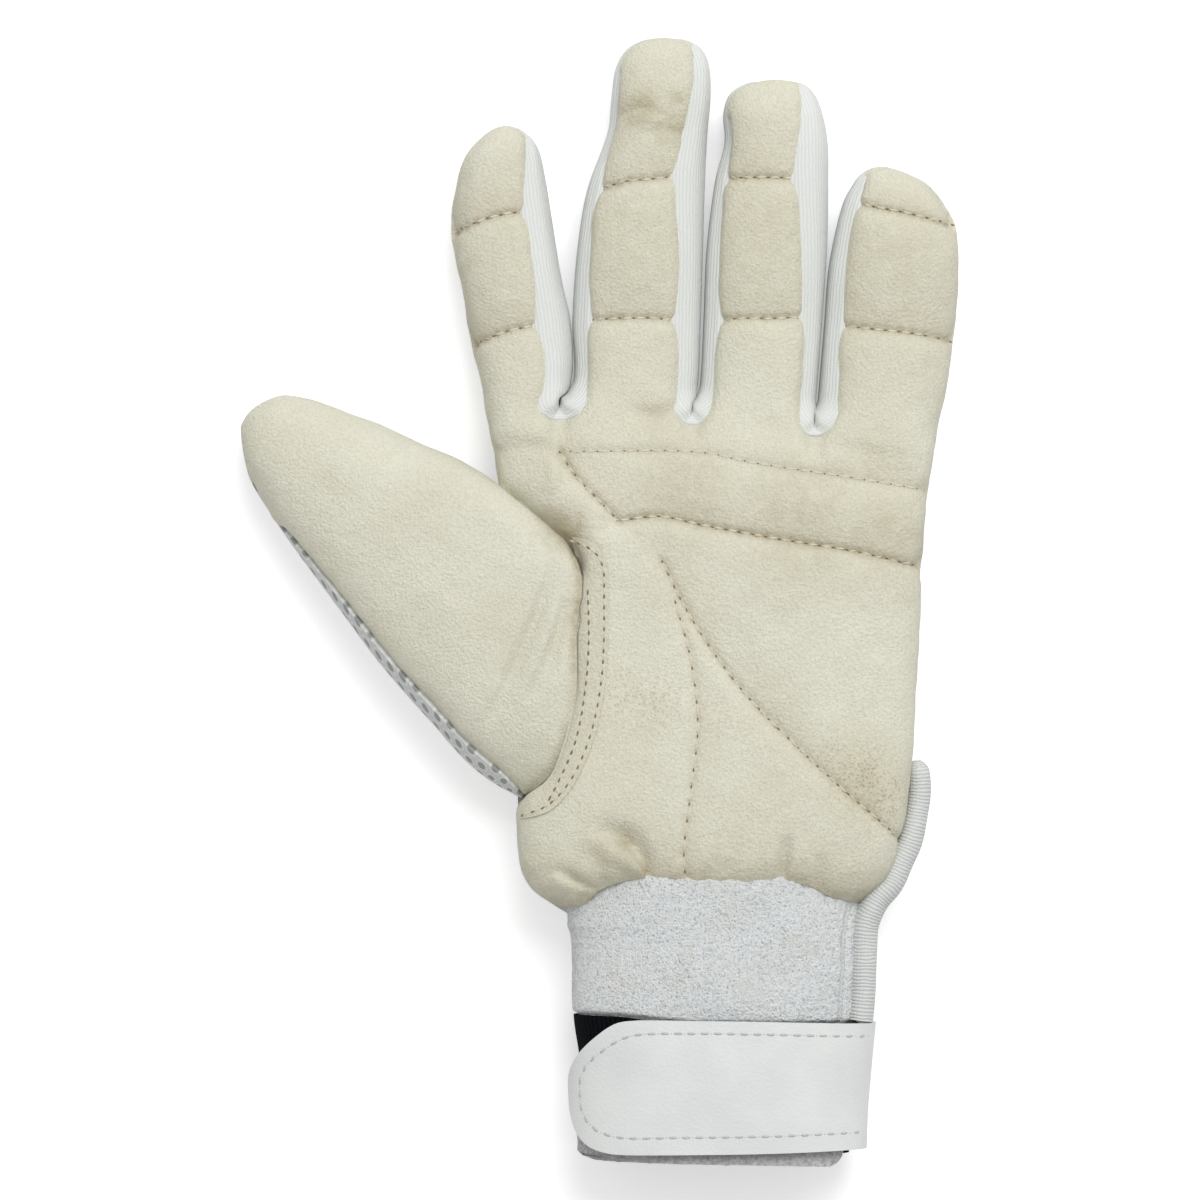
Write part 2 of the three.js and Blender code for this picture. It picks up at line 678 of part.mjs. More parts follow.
// U-shaped strip down one finger side, across the web and up the next finger side.
function addWeb(one, next) {
  const side = (finger, direction) => {
    const { ladder } = finger;
    const rows = finger.rootRows().slice(ROOT_WEB_ROW + 1).map((row) => row.t).reverse();
    const outerRows = [...rows, ladder.step(WEB, KNIT + GAP)];
    const innerRows = [...rows, ladder.step(WEB, GAP)];
    const angles = (t) => finger.stripAngles(t, direction);
    return {
      outer: grid(ladder, plain(outerRows), angles, () => 0),
      inner: grid(ladder, plain(innerRows), angles, () => KNIT),
    };
  };
  const down = side(one, 1);
  const up = side(next, -1);
  const outer = [...down.outer, ...up.outer.reverse()];
  const inner = [...down.inner, ...up.inner.reverse()];
  add(`${one.name}_${next.name}_web`, sheet(outer, inner), KNIT_WHITE);
}

const hand = new Ladder(HAND, {
  folds: [fold(0, KNUCKLE_PINCH, KNUCKLE_BEND)],
  round: (t) => {
    const round = lerp(PALM_ROUND, CUFF_ROUND, clamp((t - HAND_PALM_RUNGS) / 2, 0, 1));
    return [round, round];
  },
});
const thumb = new Ladder(THUMB);

// Drawn-in shape of a quilted field: 0 at its seams, 1 over its crown.
function pillow(share) {
  return 1 - (2 * clamp(share, 0, 1) - 1) ** 4;
}

const FOAM_SHARES = [0.09, 0.22, 0.4, 0.6, 0.78, 0.91];

// Four-cornered field of the palm, each corner a rung position and a share across the hand.
class Field {
  constructor(corners) {
    this.corners = corners;
  }

  place(across, down) {
    const [upLeft, upRight, downRight, downLeft] = this.corners;
    const mix = (key) =>
      lerp(lerp(upLeft[key], upRight[key], across), lerp(downLeft[key], downRight[key], across), down);
    return { t: mix("t"), share: mix("share") };
  }

  grid(shares, inset) {
    return shares.map((down) =>
      shares.map((across) => {
        const { t, share } = this.place(across, down);
        const crown = pillow(across) * pillow(down);
        return hand.point(t, hand.angleOf(t, share, PALM_DROP), inset(crown));
      }),
    );
  }

  leather() {
    const lap = 0.01; // neighbouring fields lap over each other and join into one sheet
    const shares = [-lap, ...FOAM_SHARES, 1 + lap];
    const drawn = (crown) => SEAM_DEPTH * (1 - crown);
    return sheet(this.grid(shares, drawn), this.grid(shares, (crown) => drawn(crown) + LEATHER));
  }

  foam() {
    const top = (crown) => SEAM_DEPTH * (1 - crown) + LEATHER + GAP;
    const under = (crown) => LEATHER + GAP + SEAM_DEPTH + lerp(FOAM_EDGE, FOAM - SEAM_DEPTH, crown);
    return sheet(this.grid(FOAM_SHARES, top), this.grid(FOAM_SHARES, under));
  }
}

function between(from, to, share) {
  return { t: lerp(from.t, to.t, share), share: lerp(from.share, to.share, share) };
}

function palmFields() {
  const top = hand.step(0, FOLD_GAP);
  const foot = hand.atY(CUFF_START + HEEL_GAP);
  const start = { ...hand.locate(...DIAGONAL_START), t: top };
  const turn = hand.locate(...DIAGONAL_END);
  const seamEnd = { t: hand.atY(PALM_SEAM_END_Y), share: 1 };
  const heelStart = between(turn, seamEnd, HEEL_SEAM_START);
  const heelFoot = { ...hand.locate(...HEEL_SEAM_FOOT), t: foot };
  const fork = between(heelStart, heelFoot, HEEL_FORK);
  const slantEnd = { t: hand.atY(SLANT_END_Y), share: 1 };
  const toLeft = (-1 - heelStart.share) / (turn.share - heelStart.share);
  const leftEnd = between(heelStart, turn, toLeft);
  const topLeft = { t: top, share: -1 };
  const topRight = { t: top, share: 1 };
  const footLeft = { t: foot, share: -1 };
  const footRight = { t: foot, share: 1 };
  return {
    bar: new Field([start, topRight, seamEnd, turn]),
    web: new Field([topLeft, start, turn, leftEnd]),
    thumbHeel: new Field([leftEnd, heelStart, heelFoot, footLeft]),
    outerHeel: new Field([heelStart, seamEnd, slantEnd, fork]),
    middleHeel: new Field([fork, slantEnd, footRight, heelFoot]),
  };
}

// Block that clears the room of the thumb out of the palm.
function thumbRoom() {
  const edge = spread(0, THUMB_BASE, 2 * THUMB_BASE).map((t) => thumb.ends(t)[1]);
  const [foot] = thumb.ends(0);
  const outline = edge.map((point) => new THREE.Vector2(point.x + THUMB_GAP / 2, point.y + THUMB_GAP));
  outline.push(new THREE.Vector2(edge.at(-1).x, foot.y - THUMB_GAP));
  outline.push(new THREE.Vector2(foot.x + THUMB_GAP / 2, foot.y - THUMB_GAP));
  const shape = new THREE.Shape(outline);
  const block = new THREE.ExtrudeGeometry(shape, { depth: ROOM_DEPTH, bevelEnabled: false });
  block.translate(0, 0, -ROOM_DROP);
  return toManifold(geometryOf(block.getAttribute("position").array));
}

function addPalm() {
  const fields = palmFields();
  const room = thumbRoom();
  const cut = (solid) => fromManifold(solid.subtract(room));
  const joined = Object.values(fields)
    .map((field) => toManifold(field.leather()))
    .reduce((sum, each) => sum.add(each));
  add("palm_leather", cut(joined), CHAMOIS);
  add("palm_bar_foam", fields.bar.foam(), FOAM_WHITE);
  add("outer_heel_foam", fields.outerHeel.foam(), FOAM_WHITE);
  add("middle_heel_foam", fields.middleHeel.foam(), FOAM_WHITE);
  add("thumb_heel_foam", cut(toManifold(fields.thumbHeel.foam())), FOAM_WHITE);

  const foot = hand.atY(CUFF_START + GAP);
  const palmRungs = spread(1, HAND_PALM_RUNGS, HAND_PALM_RUNGS - 1);
  const rows = plain([hand.step(0, FOLD_GAP / 2), ...palmRungs, foot]);
  const edge = PALM_DROP + BACK_TURN;
  const backAngles = () => spread(TURN / 2 + edge, TURN - edge, HAND_BACK_COLUMNS);
  add("hand_back", cut(toManifold(panel(hand, rows, backAngles, 0, BACK))), MESH_WHITE);
}

// Strip of leather sewn on the palm along the thumb seam.
function addWelt() {
  const layer = (height) =>
    spread(WELT_START, WELT_END, WELT_ROWS).map((share) => {
      const [foot, crotch] = thumb.ends(0);
      const seam = crotch.lerp(foot, share);
      return spread(THUMB_GAP, THUMB_GAP + WELT_WIDTH, 2).map((away) => {
        const { t, share: across } = hand.locate(seam.x + away, seam.y);
        return hand.point(t, hand.angleOf(t, across, PALM_DROP), -height);
      });
    });
  add("thumb_welt", sheet(layer(GAP + WELT), layer(GAP)), CHAMOIS);
}

// Closed ring round the hand between two heights.
function ring(from, to, rowCount, outerInset, innerInset) {
  const rows = plain(spread(hand.atY(from), hand.atY(to), rowCount));
  const angles = () => spread(0, TURN, RING_COLUMNS).slice(0, -1);
  return panel(hand, rows, angles, outerInset, innerInset, { wrap: true });
}

// Patch on top of the wrist with a rounded end, between two heights and two angles.
function wristPatch({ from, to, right, left, roundRight = 0, roundLeft = 0, under, over }) {
  const layer = (height) =>
    PATCH_ROWS.map((share) => {
      const t = hand.atY(lerp(from, to, share));
      const corner = 1 - Math.sqrt(1 - (2 * share - 1) ** 2);
      const trimLeft = hand.gapAngle(t, roundLeft * corner);
      const trimRight = hand.gapAngle(t, roundRight * corner);
      const angles = spread(right + trimRight, left - trimLeft, PATCH_COLUMNS);
      return angles.map((angle) => hand.point(t, angle, -height));
    });
  return sheet(layer(over), layer(under));
}

const LOOP_UNDER = GAP;
const HOOK_UNDER = LOOP_UNDER + LOOP + GAP;
const STRAP_UNDER = HOOK_UNDER + HOOK + GAP;

function addWrist() {
  add("cuff", ring(CUFF_START, BAND_START + GAP, CUFF_ROWS, 0, TERRY), TERRY_WHITE);
  add("wrist_band", ring(BAND_START, BAND_END, BAND_ROWS, 0, BAND), BAND_BLACK);
  const loop = { from: LOOP_START, to: LOOP_END, right: LOOP_RIGHT, left: LOOP_LEFT };
  const loopRound = { roundLeft: LOOP_ROUND, roundRight: LOOP_ROUND };
  const loopStack = { under: LOOP_UNDER, over: LOOP_UNDER + LOOP };
  add("loop_patch", wristPatch({ ...loop, ...loopRound, ...loopStack }), LOOP_GREY);
  const turn = { from: STRAP_START, to: STRAP_END, right: ROOT_END, left: ROOT_START };
  add("strap_root", wristPatch({ ...turn, under: GAP, over: GAP + STRAP }), STRAP_WHITE);
}

function addStrap() {
  const tab = {
    from: STRAP_START,
    to: STRAP_END,
    right: STRAP_TURN,
    left: STRAP_TIP,
    roundLeft: STRAP_ROUND,
    under: STRAP_UNDER,
    over: STRAP_UNDER + STRAP,
  };
  add("strap_tab", wristPatch(tab), STRAP_WHITE);
  const hook = {
    from: STRAP_START - HOOK_MARGIN,
    to: STRAP_END + HOOK_MARGIN,
    right: LOOP_RIGHT + HOOK_TURN,
    left: LOOP_LEFT - HOOK_TURN,
    roundLeft: STRAP_ROUND - HOOK_MARGIN,
    under: HOOK_UNDER,
    over: HOOK_UNDER + HOOK,
  };
  add("hook_patch", wristPatch(hook), HOOK_GREY);
}

// Rounded roll that follows the side of the palm and the cuff.
function addBinding() {
  const angles = spread(0, TURN, BINDING_COLUMNS).slice(0, -1);
  const loops = spread(BINDING_START, BINDING_END, BINDING_ROWS).map((y) => {
    const { centre, across, half } = hand.section(hand.atY(y));
    const taper = y === BINDING_START ? BINDING_TAPER : 1;
    const core = centre.addScaledVector(across, half + GAP + BINDING_WIDTH / 2).setZ(BINDING_LEVEL);
    const points = angles.map((angle) => {
      const sideways = (Math.cos(radians(angle)) * BINDING_WIDTH * taper) / 2;
      const upwards = (Math.sin(radians(angle)) * BINDING_HEIGHT * taper) / 2;
      const point = core.clone().addScaledVector(across, sideways);
      return point.setZ(BINDING_LEVEL + upwards);
    });
    return { core, points };
  });
  add("edge_binding", tubeOf(loops), KNIT_WHITE);
}

// Closed tube from rings of points, each with its core.
function tubeOf(loops) {
  const positions = [];
  const triangle = (...corners) => {
    for (const corner of corners) positions.push(corner.x, corner.y, corner.z);
  };
  const rings = loops.map((loop) => loop.points);
  const count = rings[0].length;
  const last = loops.length - 1;
  for (let j = 0; j < count; j += 1) {
    const next = (j + 1) % count;
    for (let i = 0; i < last; i += 1) {
      triangle(rings[i][j], rings[i][next], rings[i + 1][next]);
      triangle(rings[i][j], rings[i + 1][next], rings[i + 1][j]);
    }
    triangle(loops[0].core, rings[0][next], rings[0][j]);
    triangle(loops[last].core, rings[last][j], rings[last][next]);
  }
  return outwards(geometryOf(positions));
}

function addThumb() {
  const start = thumb.step(0, THUMB_GAP / 2);
  const rows = tipRows(thumb, start, 1);
  const meshEdge = (t) => thumb.edgeAngle(t, THUMB_MESH, -1);
  const frontAngles = (t) => spread(meshEdge(t), FRONT_RIGHT, THUMB_FRONT_COLUMNS);
  const wrapAngles = spread(FRONT_RIGHT, THUMB_WRAP, THUMB_SIDE_COLUMNS).slice(1);
  const leatherAngles = (t) => [...frontAngles(t), ...wrapAngles];
  const backAngles = (t) => {
    const gap = thumb.gapAngle(t, GAP);
    return spread(meshEdge(t) + gap, TURN + THUMB_WRAP - gap, THUMB_BACK_COLUMNS);
  };
  add("thumb_leather", panel(thumb, rows, leatherAngles, 0, LEATHER), CHAMOIS);
  const foamRows = rows.slice(0, -3);
  const foamTop = LEATHER + GAP;
  const pad = panel(thumb, foamRows, frontAngles, foamTop, foamTop + FOAM, FOAM_TRIM);
  add("thumb_foam", pad, FOAM_WHITE);
  add("thumb_back", panel(thumb, rows, backAngles, 0, BACK), MESH_WHITE);
}

for (const finger of fingers) {
  finger.addMiddle();
  finger.addTip();
}
addKnuckles();
addPalm();
addWelt();
addWrist();
addStrap();
addBinding();
addThumb();

// The origin sits on the table under the middle of the glove.
const middle = new THREE.Box3().setFromObject(group).getCenter(new THREE.Vector3());
for (const mesh of group.children) mesh.geometry.translate(-middle.x, -middle.y, 0);

export default group;
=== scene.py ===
"""Looks of a left-hand inner glove for a wicket keeper, lying on its back with the palm up.

Outlines are in millimetres from the middle of the hand: +X to the little finger, +Y to the
finger tips, +Z up from the table. Meshes are in metres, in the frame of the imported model.
"""

import json
import logging
import math
from collections.abc import Callable, Iterator, Sequence
from contextlib import contextmanager
from dataclasses import dataclass, field
from enum import Enum

import bpy
import numpy as np
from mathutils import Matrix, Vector
from mathutils.bvhtree import BVHTree
from mathutils.kdtree import KDTree

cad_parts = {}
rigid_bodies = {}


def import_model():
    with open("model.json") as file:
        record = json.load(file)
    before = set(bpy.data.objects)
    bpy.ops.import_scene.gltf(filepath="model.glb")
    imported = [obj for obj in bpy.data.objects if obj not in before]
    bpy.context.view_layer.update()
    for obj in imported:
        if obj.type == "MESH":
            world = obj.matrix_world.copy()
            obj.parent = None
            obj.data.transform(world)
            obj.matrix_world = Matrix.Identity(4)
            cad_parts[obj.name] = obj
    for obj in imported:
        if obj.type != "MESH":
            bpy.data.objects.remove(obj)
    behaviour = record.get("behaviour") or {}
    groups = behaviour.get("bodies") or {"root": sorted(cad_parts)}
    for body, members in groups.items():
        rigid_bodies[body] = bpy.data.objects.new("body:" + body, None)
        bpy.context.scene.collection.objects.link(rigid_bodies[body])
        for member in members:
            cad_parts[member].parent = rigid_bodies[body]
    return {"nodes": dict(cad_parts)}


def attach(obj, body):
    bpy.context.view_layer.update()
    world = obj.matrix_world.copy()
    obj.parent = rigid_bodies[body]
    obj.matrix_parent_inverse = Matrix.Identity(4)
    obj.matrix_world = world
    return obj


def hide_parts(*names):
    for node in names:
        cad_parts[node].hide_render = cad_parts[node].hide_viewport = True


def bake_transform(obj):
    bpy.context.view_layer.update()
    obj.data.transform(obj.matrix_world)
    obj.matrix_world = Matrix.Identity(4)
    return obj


LOG = logging.getLogger("inner_glove")

Array = np.ndarray
Material = bpy.types.Material
Piece = bpy.types.Object
Socket = bpy.types.NodeSocket
Tree = bpy.types.NodeTree
Span = tuple[float, float]  # start and end of a soft step
Wave = tuple[float, float, int]  # height and size of soft waves in millimetres, and their seed

MM = 0.001
SHIFT = np.array([0.6, 0.15, 0.0])  # from the middle of the hand to the middle of the model's box
CLOSE_WELD = 1e-6  # metres between doubles where a ring closes
JOIN_WELD = 2e-6  # and where sheets meet

# Heights above the table
KNUCKLE_TOP = 28.0
WEB_TOP = 25.5
FINGER_TOP = 23.5
TIP_TOP = 21.5
PALM_TOP = 31.0
HEEL_TOP = 33.5
CUFF_TOP = 31.0
THUMB_TOP = 29.5
FLOOR_DIP = 1.5  # part of a rounded section that the table presses flat

# Thickness of each material
PAD = 1.8
KNIT = 0.9
MESH = 1.4
TERRY = 2.0
BAND = 1.4
LOOP = 0.9
HOOK = 0.7
STRAP = 1.3
WELT = 0.8

# Rung counts of a finger
WEB = 1
MIDDLE_SEAM = 3
TIP_SEAM = 5
BASE_SPLIT = 2.0  # the finger's own cover starts here, between the web and the middle seam
END_SPLIT = 4.0  # and the cover of its end here, between the two seams
WAY_STEP = 0.2  # its direction is taken over this many rungs each side

# Roundness of a section: 2 is an ellipse, larger is boxier
FINGER_ROUND = 2.6
SHARED_ROUND = 8.0
PALM_ROUND = 4.0
CUFF_ROUND = 2.6

# Angles round a section, 0 at the right, 90 on top
BACK_RIGHT = -20.0
BACK_LEFT = 200.0
SIDE_SHARE = 0.86  # share of the half width where a cover without a knit strip turns down its side
EDGE_SHARE = 0.94  # covers of neighbouring fingers end here below the web
WEB_ROUND = 4.5  # radius of the U at the foot of a knit strip
WEB_REACH = 6.5  # the web slopes this far towards the tips on its way to the back


class Side(Enum):
    """Side of a finger, seen from above."""

    LEFT = -1
    RIGHT = 1


def smooth(share: Array) -> Array:
    """Returns a soft step from 0 to 1 over a share from 0 to 1."""
    held = np.clip(share, 0.0, 1.0)
    return held * held * (3.0 - 2.0 * held)


def rise(values: Array, start: float, end: float) -> Array:
    """Returns a soft step from 0 where values are at start to 1 where they are at end."""
    return smooth((values - start) / (end - start))


def ripple(points: Array, size: float, seed: int, waves: int = 10) -> Array:
    """Gives a soft irregular wave over points.

    Args:
        points: places, (..., 2 or 3), in millimetres.
        size: typical wave length in millimetres.
        seed: choice of the waves.
        waves: how many waves add up.

    Returns:
        Heights of about -1 to 1.
    """
    chance = np.random.default_rng(seed)
    ways = chance.normal(size=(waves, points.shape[-1]))
    ways /= np.linalg.norm(ways, axis=1, keepdims=True)
    lengths = size * chance.uniform(0.7, 1.7, waves)
    starts = chance.uniform(0.0, 2.0 * math.pi, waves)
    total = sum(
        np.sin(2.0 * math.pi * (points @ way) / length + start)
        for way, length, start in zip(ways, lengths, starts)
    )
    return total / math.sqrt(2.0 * waves)


def waves(points: Array, wave: Wave) -> Array:
    """Returns the heights of soft waves over points."""
    height, size, seed = wave
    return height * ripple(points, size, seed)


def running(steps: Array, axis: int = 0) -> Array:
    """Returns the running total of steps along an axis, from 0 on."""
    return np.insert(np.cumsum(steps, axis=axis), 0, 0.0, axis=axis)


def strides(points: Array, axis: int = 0) -> Array:
    """Returns the distances from each point to the next along an axis."""
    return np.linalg.norm(np.diff(points, axis=axis), axis=-1)


class Curve:
    """Smooth line through a few points; a position counts the points from 0."""

    SAMPLES = 40  # between two points, when the line is measured

    def __init__(self, points: Sequence[Sequence[float]], even: bool = False) -> None:
        """Keeps the points.

        Args:
            points: what the line goes through.
            even: the points count as evenly spaced, as for heights along a finger.
        """
        self.points = np.array(points, float)
        self.last = len(self.points) - 1
        self.even = even

    def at(self, positions: Array) -> Array:
        """Finds points on the line.

        Args:
            positions: where on the line.

        Returns:
            The points, with one more axis for their coordinates.
        """
        flat = np.clip(np.ravel(positions).astype(float), 0.0, self.last)
        low = np.minimum(flat.astype(int), self.last - 1)
        share = (flat - low)[:, None]
        first, final = 2 * self.points[0] - self.points[1], 2 * self.points[-1] - self.points[-2]
        around = np.vstack([first, self.points, final])
        a, b, c, d = (around[low + k] for k in range(4))
        steps = [np.ones_like(share) if self.even else self.root(q - p) for p, q in ((a, b), (b, c), (c, d))]
        before, here, after = steps
        start = ((b - a) / before - (c - a) / (before + here) + (c - b) / here) * here
        end = ((c - b) / here - (d - b) / (here + after) + (d - c) / after) * here
        square, cube = share**2, share**3
        places = (
            (2 * cube - 3 * square + 1) * b
            + (cube - 2 * square + share) * start
            + (3 * square - 2 * cube) * c
            + (cube - square) * end
        )
        return places.reshape(*np.shape(positions), self.points.shape[1])

    @staticmethod
    def root(step: Array) -> Array:
        """Returns the square root of each step's length."""
        return np.sqrt(np.maximum(np.linalg.norm(step, axis=1, keepdims=True), 1e-6))

    def spaced(self, pitch: float = 1.0) -> Array:
        """Spaces points along the line.

        Args:
            pitch: distance from point to point in millimetres.

        Returns:
            The points, (n, coordinates).
        """
        fine = self.at(np.linspace(0, self.last, self.SAMPLES * self.last + 1))
        along = running(strides(fine))
        count = max(int(round(along[-1] / pitch)), 2)
        marks = np.linspace(0.0, along[-1], count + 1)
        return np.column_stack([np.interp(marks, along, fine[:, k]) for k in range(fine.shape[1])])


def nearest_on(line: Array, points: Array) -> tuple[Array, Array, Array]:
    """Finds how far plan points lie from a line.

    Args:
        line: corners of the line, (n, 2).
        points: places, (..., 2).

    Returns:
        Distance of each point, how far along the line its nearest spot lies, and on which
        side it lies: 1 to the left of the line's run and -1 to the right.
    """
    best = np.full(points.shape[:-1], np.inf)
    along = np.zeros_like(best)
    side = np.ones_like(best)
    run = 0.0
    for start, end in zip(line[:-1], line[1:]):
        way = end - start
        length = np.linalg.norm(way)
        off = points - start
        share = np.clip((off @ way) / length**2, 0.0, 1.0)
        gap = np.linalg.norm(off - share[..., None] * way, axis=-1)
        closer = gap < best
        turn = np.sign(way[0] * off[..., 1] - way[1] * off[..., 0])
        best = np.where(closer, gap, best)
        along = np.where(closer, run + share * length, along)
        side = np.where(closer, turn, side)
        run += length
    return best, along, side


@dataclass(frozen=True)
class Rung:
    """Line across the glove from its left outline to its right one.

    The knits are what shows of the side strips from above, left and right.
    """

    left: tuple[float, float]
    right: tuple[float, float]
    top: float
    knits: tuple[float, float] = (0.0, 0.0)
    bottom: float = 0.0


class Ladder:
    """Run of rungs with a rounded section between each left and right outline."""

    ROW_SAMPLES = 600  # when its outlines are measured
    FALL_SAMPLES = 2000  # when a height is looked up on its centre line

    def __init__(self, rungs: Sequence[Rung], roundness: Callable[[Array, Side], Array]) -> None:
        """Keeps the outlines.

        Args:
            rungs: the rungs in order.
            roundness: roundness of the section at a rung position, for its left or right half.
        """
        self.last = len(rungs) - 1
        self.left = Curve([rung.left for rung in rungs])
        self.right = Curve([rung.right for rung in rungs])
        self.heights = Curve([(rung.top, rung.bottom) for rung in rungs], even=True)
        self.knits = Curve([rung.knits for rung in rungs], even=True)
        self.roundness = roundness

    def centre(self, t: Array) -> Array:
        """Returns the plan points half way along rungs."""
        return (self.left.at(t) + self.right.at(t)) / 2

    def width(self, t: Array) -> Array:
        """Returns the widths of rungs."""
        return np.linalg.norm(self.right.at(t) - self.left.at(t), axis=-1)

    def rows(self, start: float, end: float, pitch: float) -> Array:
        """Spaces rows along the ladder.

        Args:
            start: first rung position.
            end: last one.
            pitch: distance on the longer outline, about.

        Returns:
            Rung positions.
        """
        fine = np.linspace(start, end, self.ROW_SAMPLES)
        along = running(np.maximum(strides(self.left.at(fine)), strides(self.right.at(fine))))
        count = max(int(round(along[-1] / pitch)), 2)
        return np.interp(np.linspace(0, along[-1], count + 1), along, fine)

    def at_y(self, y: Array) -> Array:
        """Returns the rung positions where the centre line is at heights y, for a falling ladder."""
        fine = np.linspace(0, self.last, self.FALL_SAMPLES)
        return np.interp(-np.asarray(y, float), -self.centre(fine)[:, 1], fine)

    def angle(self, t: Array, share: Array) -> Array:
        """Finds angles on top of the section.

        Args:
            t: rung positions.
            share: places across it, -1 left and 1 right.

        Returns:
            Angles in degrees.
        """
        power = np.where(share < 0, self.roundness(t, Side.LEFT), self.roundness(t, Side.RIGHT))
        turn = np.degrees(np.arccos(np.clip(np.abs(share), 0.0, 1.0) ** (power / 2)))
        return np.where(share < 0, 180.0 - turn, turn)

    def point(self, t: Array, angle: Array, inset: Array | float = 0.0) -> Array:
        """Gives places on the section.

        Args:
            t: rung positions.
            angle: angles round the section in degrees.
            inset: how far the places lie inside the outer skin.

        Returns:
            The places, with one more axis for x, y and z.
        """
        t, angle, inset = np.broadcast_arrays(np.asarray(t, float), angle, inset)
        left, right = self.left.at(t), self.right.at(t)
        across = right - left
        length = np.linalg.norm(across, axis=-1)
        across = across / np.maximum(length, 1e-6)[..., None]
        top, bottom = np.moveaxis(self.heights.at(t), -1, 0)
        bottom = bottom - FLOOR_DIP
        cosine, sine = np.cos(np.radians(angle)), np.sin(np.radians(angle))
        power = 2.0 / np.where(cosine < 0, self.roundness(t, Side.LEFT), self.roundness(t, Side.RIGHT))
        tall, half = (top - bottom) / 2, length / 2
        sideways = np.sign(cosine) * np.abs(cosine) ** power * np.maximum(half - inset, 0.0)
        upwards = np.sign(sine) * np.abs(sine) ** power * np.maximum(tall - inset, 0.0)
        plan = (left + right) / 2 + across * sideways[..., None]
        height = np.maximum((top + bottom) / 2 + upwards, 0.0)
        return np.concatenate([plan, height[..., None]], axis=-1)


@dataclass
class Finger:
    """One finger: its outline, what shows of its knit sides, and its sewn seams."""

    name: str
    rungs: list[Rung]
    knit: tuple[Side, ...]
    middle_seam: list[tuple[float, float]]
    tip_seam: list[tuple[float, float]]
    ladder: Ladder = field(init=False)

    def __post_init__(self) -> None:
        """Builds the ladder."""
        self.ladder = Ladder(self.rungs, self.roundness)

    def roundness(self, t: Array, side: Side) -> Array:
        """Returns the roundness of a side: boxy near the knuckles where it meets the next finger."""
        start = SHARED_ROUND if side in self.knit else FINGER_ROUND
        return start + (FINGER_ROUND - start) * smooth(np.asarray(t) / BASE_SPLIT)

    def edge_share(self, t: Array, side: Side, flip: bool = False) -> Array:
        """Gives where a cover ends on a side.

        Args:
            t: rung positions.
            side: which side.
            flip: the cover is the one on the back of the finger.

        Returns:
            Shares across the finger, -1 left and 1 right.
        """
        if side not in self.knit:
            return np.full(np.shape(t), side.value * SIDE_SHARE)
        if flip:
            return side.value * math.cos(math.radians(BACK_RIGHT)) ** (2.0 / self.roundness(t, side))
        widths = self.ladder.knits.at(t)[..., 0 if side is Side.LEFT else 1]
        climb = np.linalg.norm(self.ladder.centre(t) - self.ladder.centre(np.array(float(WEB))), axis=-1)
        climb = np.where(np.asarray(t) < WEB, 0.0, climb)
        curve = np.sqrt(1.0 - (1.0 - np.clip(climb / WEB_ROUND, 0.0, 1.0)) ** 2)
        share = 1.0 - 2.0 * np.maximum(widths, 0.0) * curve / np.maximum(self.ladder.width(t), 1e-3)
        return side.value * np.minimum(share, EDGE_SHARE)

    def cover_points(self, t: Array, shares: Array, wrap: int, flip: bool = False) -> Array:
        """Gives the points of a cover, from its left edge to its right edge.

        Args:
            t: rung positions, (rows,).
            shares: places between the edges, 0 to 1.
            wrap: columns down a side that has no knit strip.
            flip: the cover is the one on the back of the finger.

        Returns:
            Places, (rows, columns, 3).
        """
        left, right = (self.edge_share(t, side, flip)[:, None] for side in Side)
        across = left + (right - left) * shares[None, :]
        angles = self.ladder.angle(t[:, None] + 0 * across, across)
        if flip:
            angles = 360.0 - angles
        turn = np.linspace(0.0, 1.0, wrap + 1)[None, 1:]
        if Side.LEFT not in self.knit:
            edge = angles[:, :1]
            angles = np.concatenate([(edge + (BACK_LEFT - edge) * turn)[:, ::-1], angles], axis=1)
        if Side.RIGHT not in self.knit:
            edge = angles[:, -1:] - (360.0 if flip else 0.0)
            angles = np.concatenate([angles, edge + (BACK_RIGHT - edge) * turn], axis=1)
        return self.ladder.point(t[:, None], angles)

    def side_points(self, t: Array, side: Side, depths: Array, inset: Array) -> Array:
        """Gives the points of a knit side.

        Args:
            t: rung positions, (rows,).
            side: which side.
            depths: places between the padded cover, 0, and the back, 1.
            inset: how far each place lies inside the outline, (columns,) or (rows, columns).

        Returns:
            Places, (rows, columns, 3), from the cover to the back.
        """
        top = self.ladder.angle(t, self.edge_share(t, side))[:, None]
        end = BACK_LEFT if side is Side.LEFT else BACK_RIGHT
        return self.ladder.point(t[:, None], top + (end - top) * depths, inset)

    def way(self, t: float) -> Array:
        """Returns the plan direction towards the tip at a rung position."""
        behind, ahead = self.ladder.centre(np.array([t - WAY_STEP, t + WAY_STEP]))
        return (ahead - behind) / np.linalg.norm(ahead - behind)


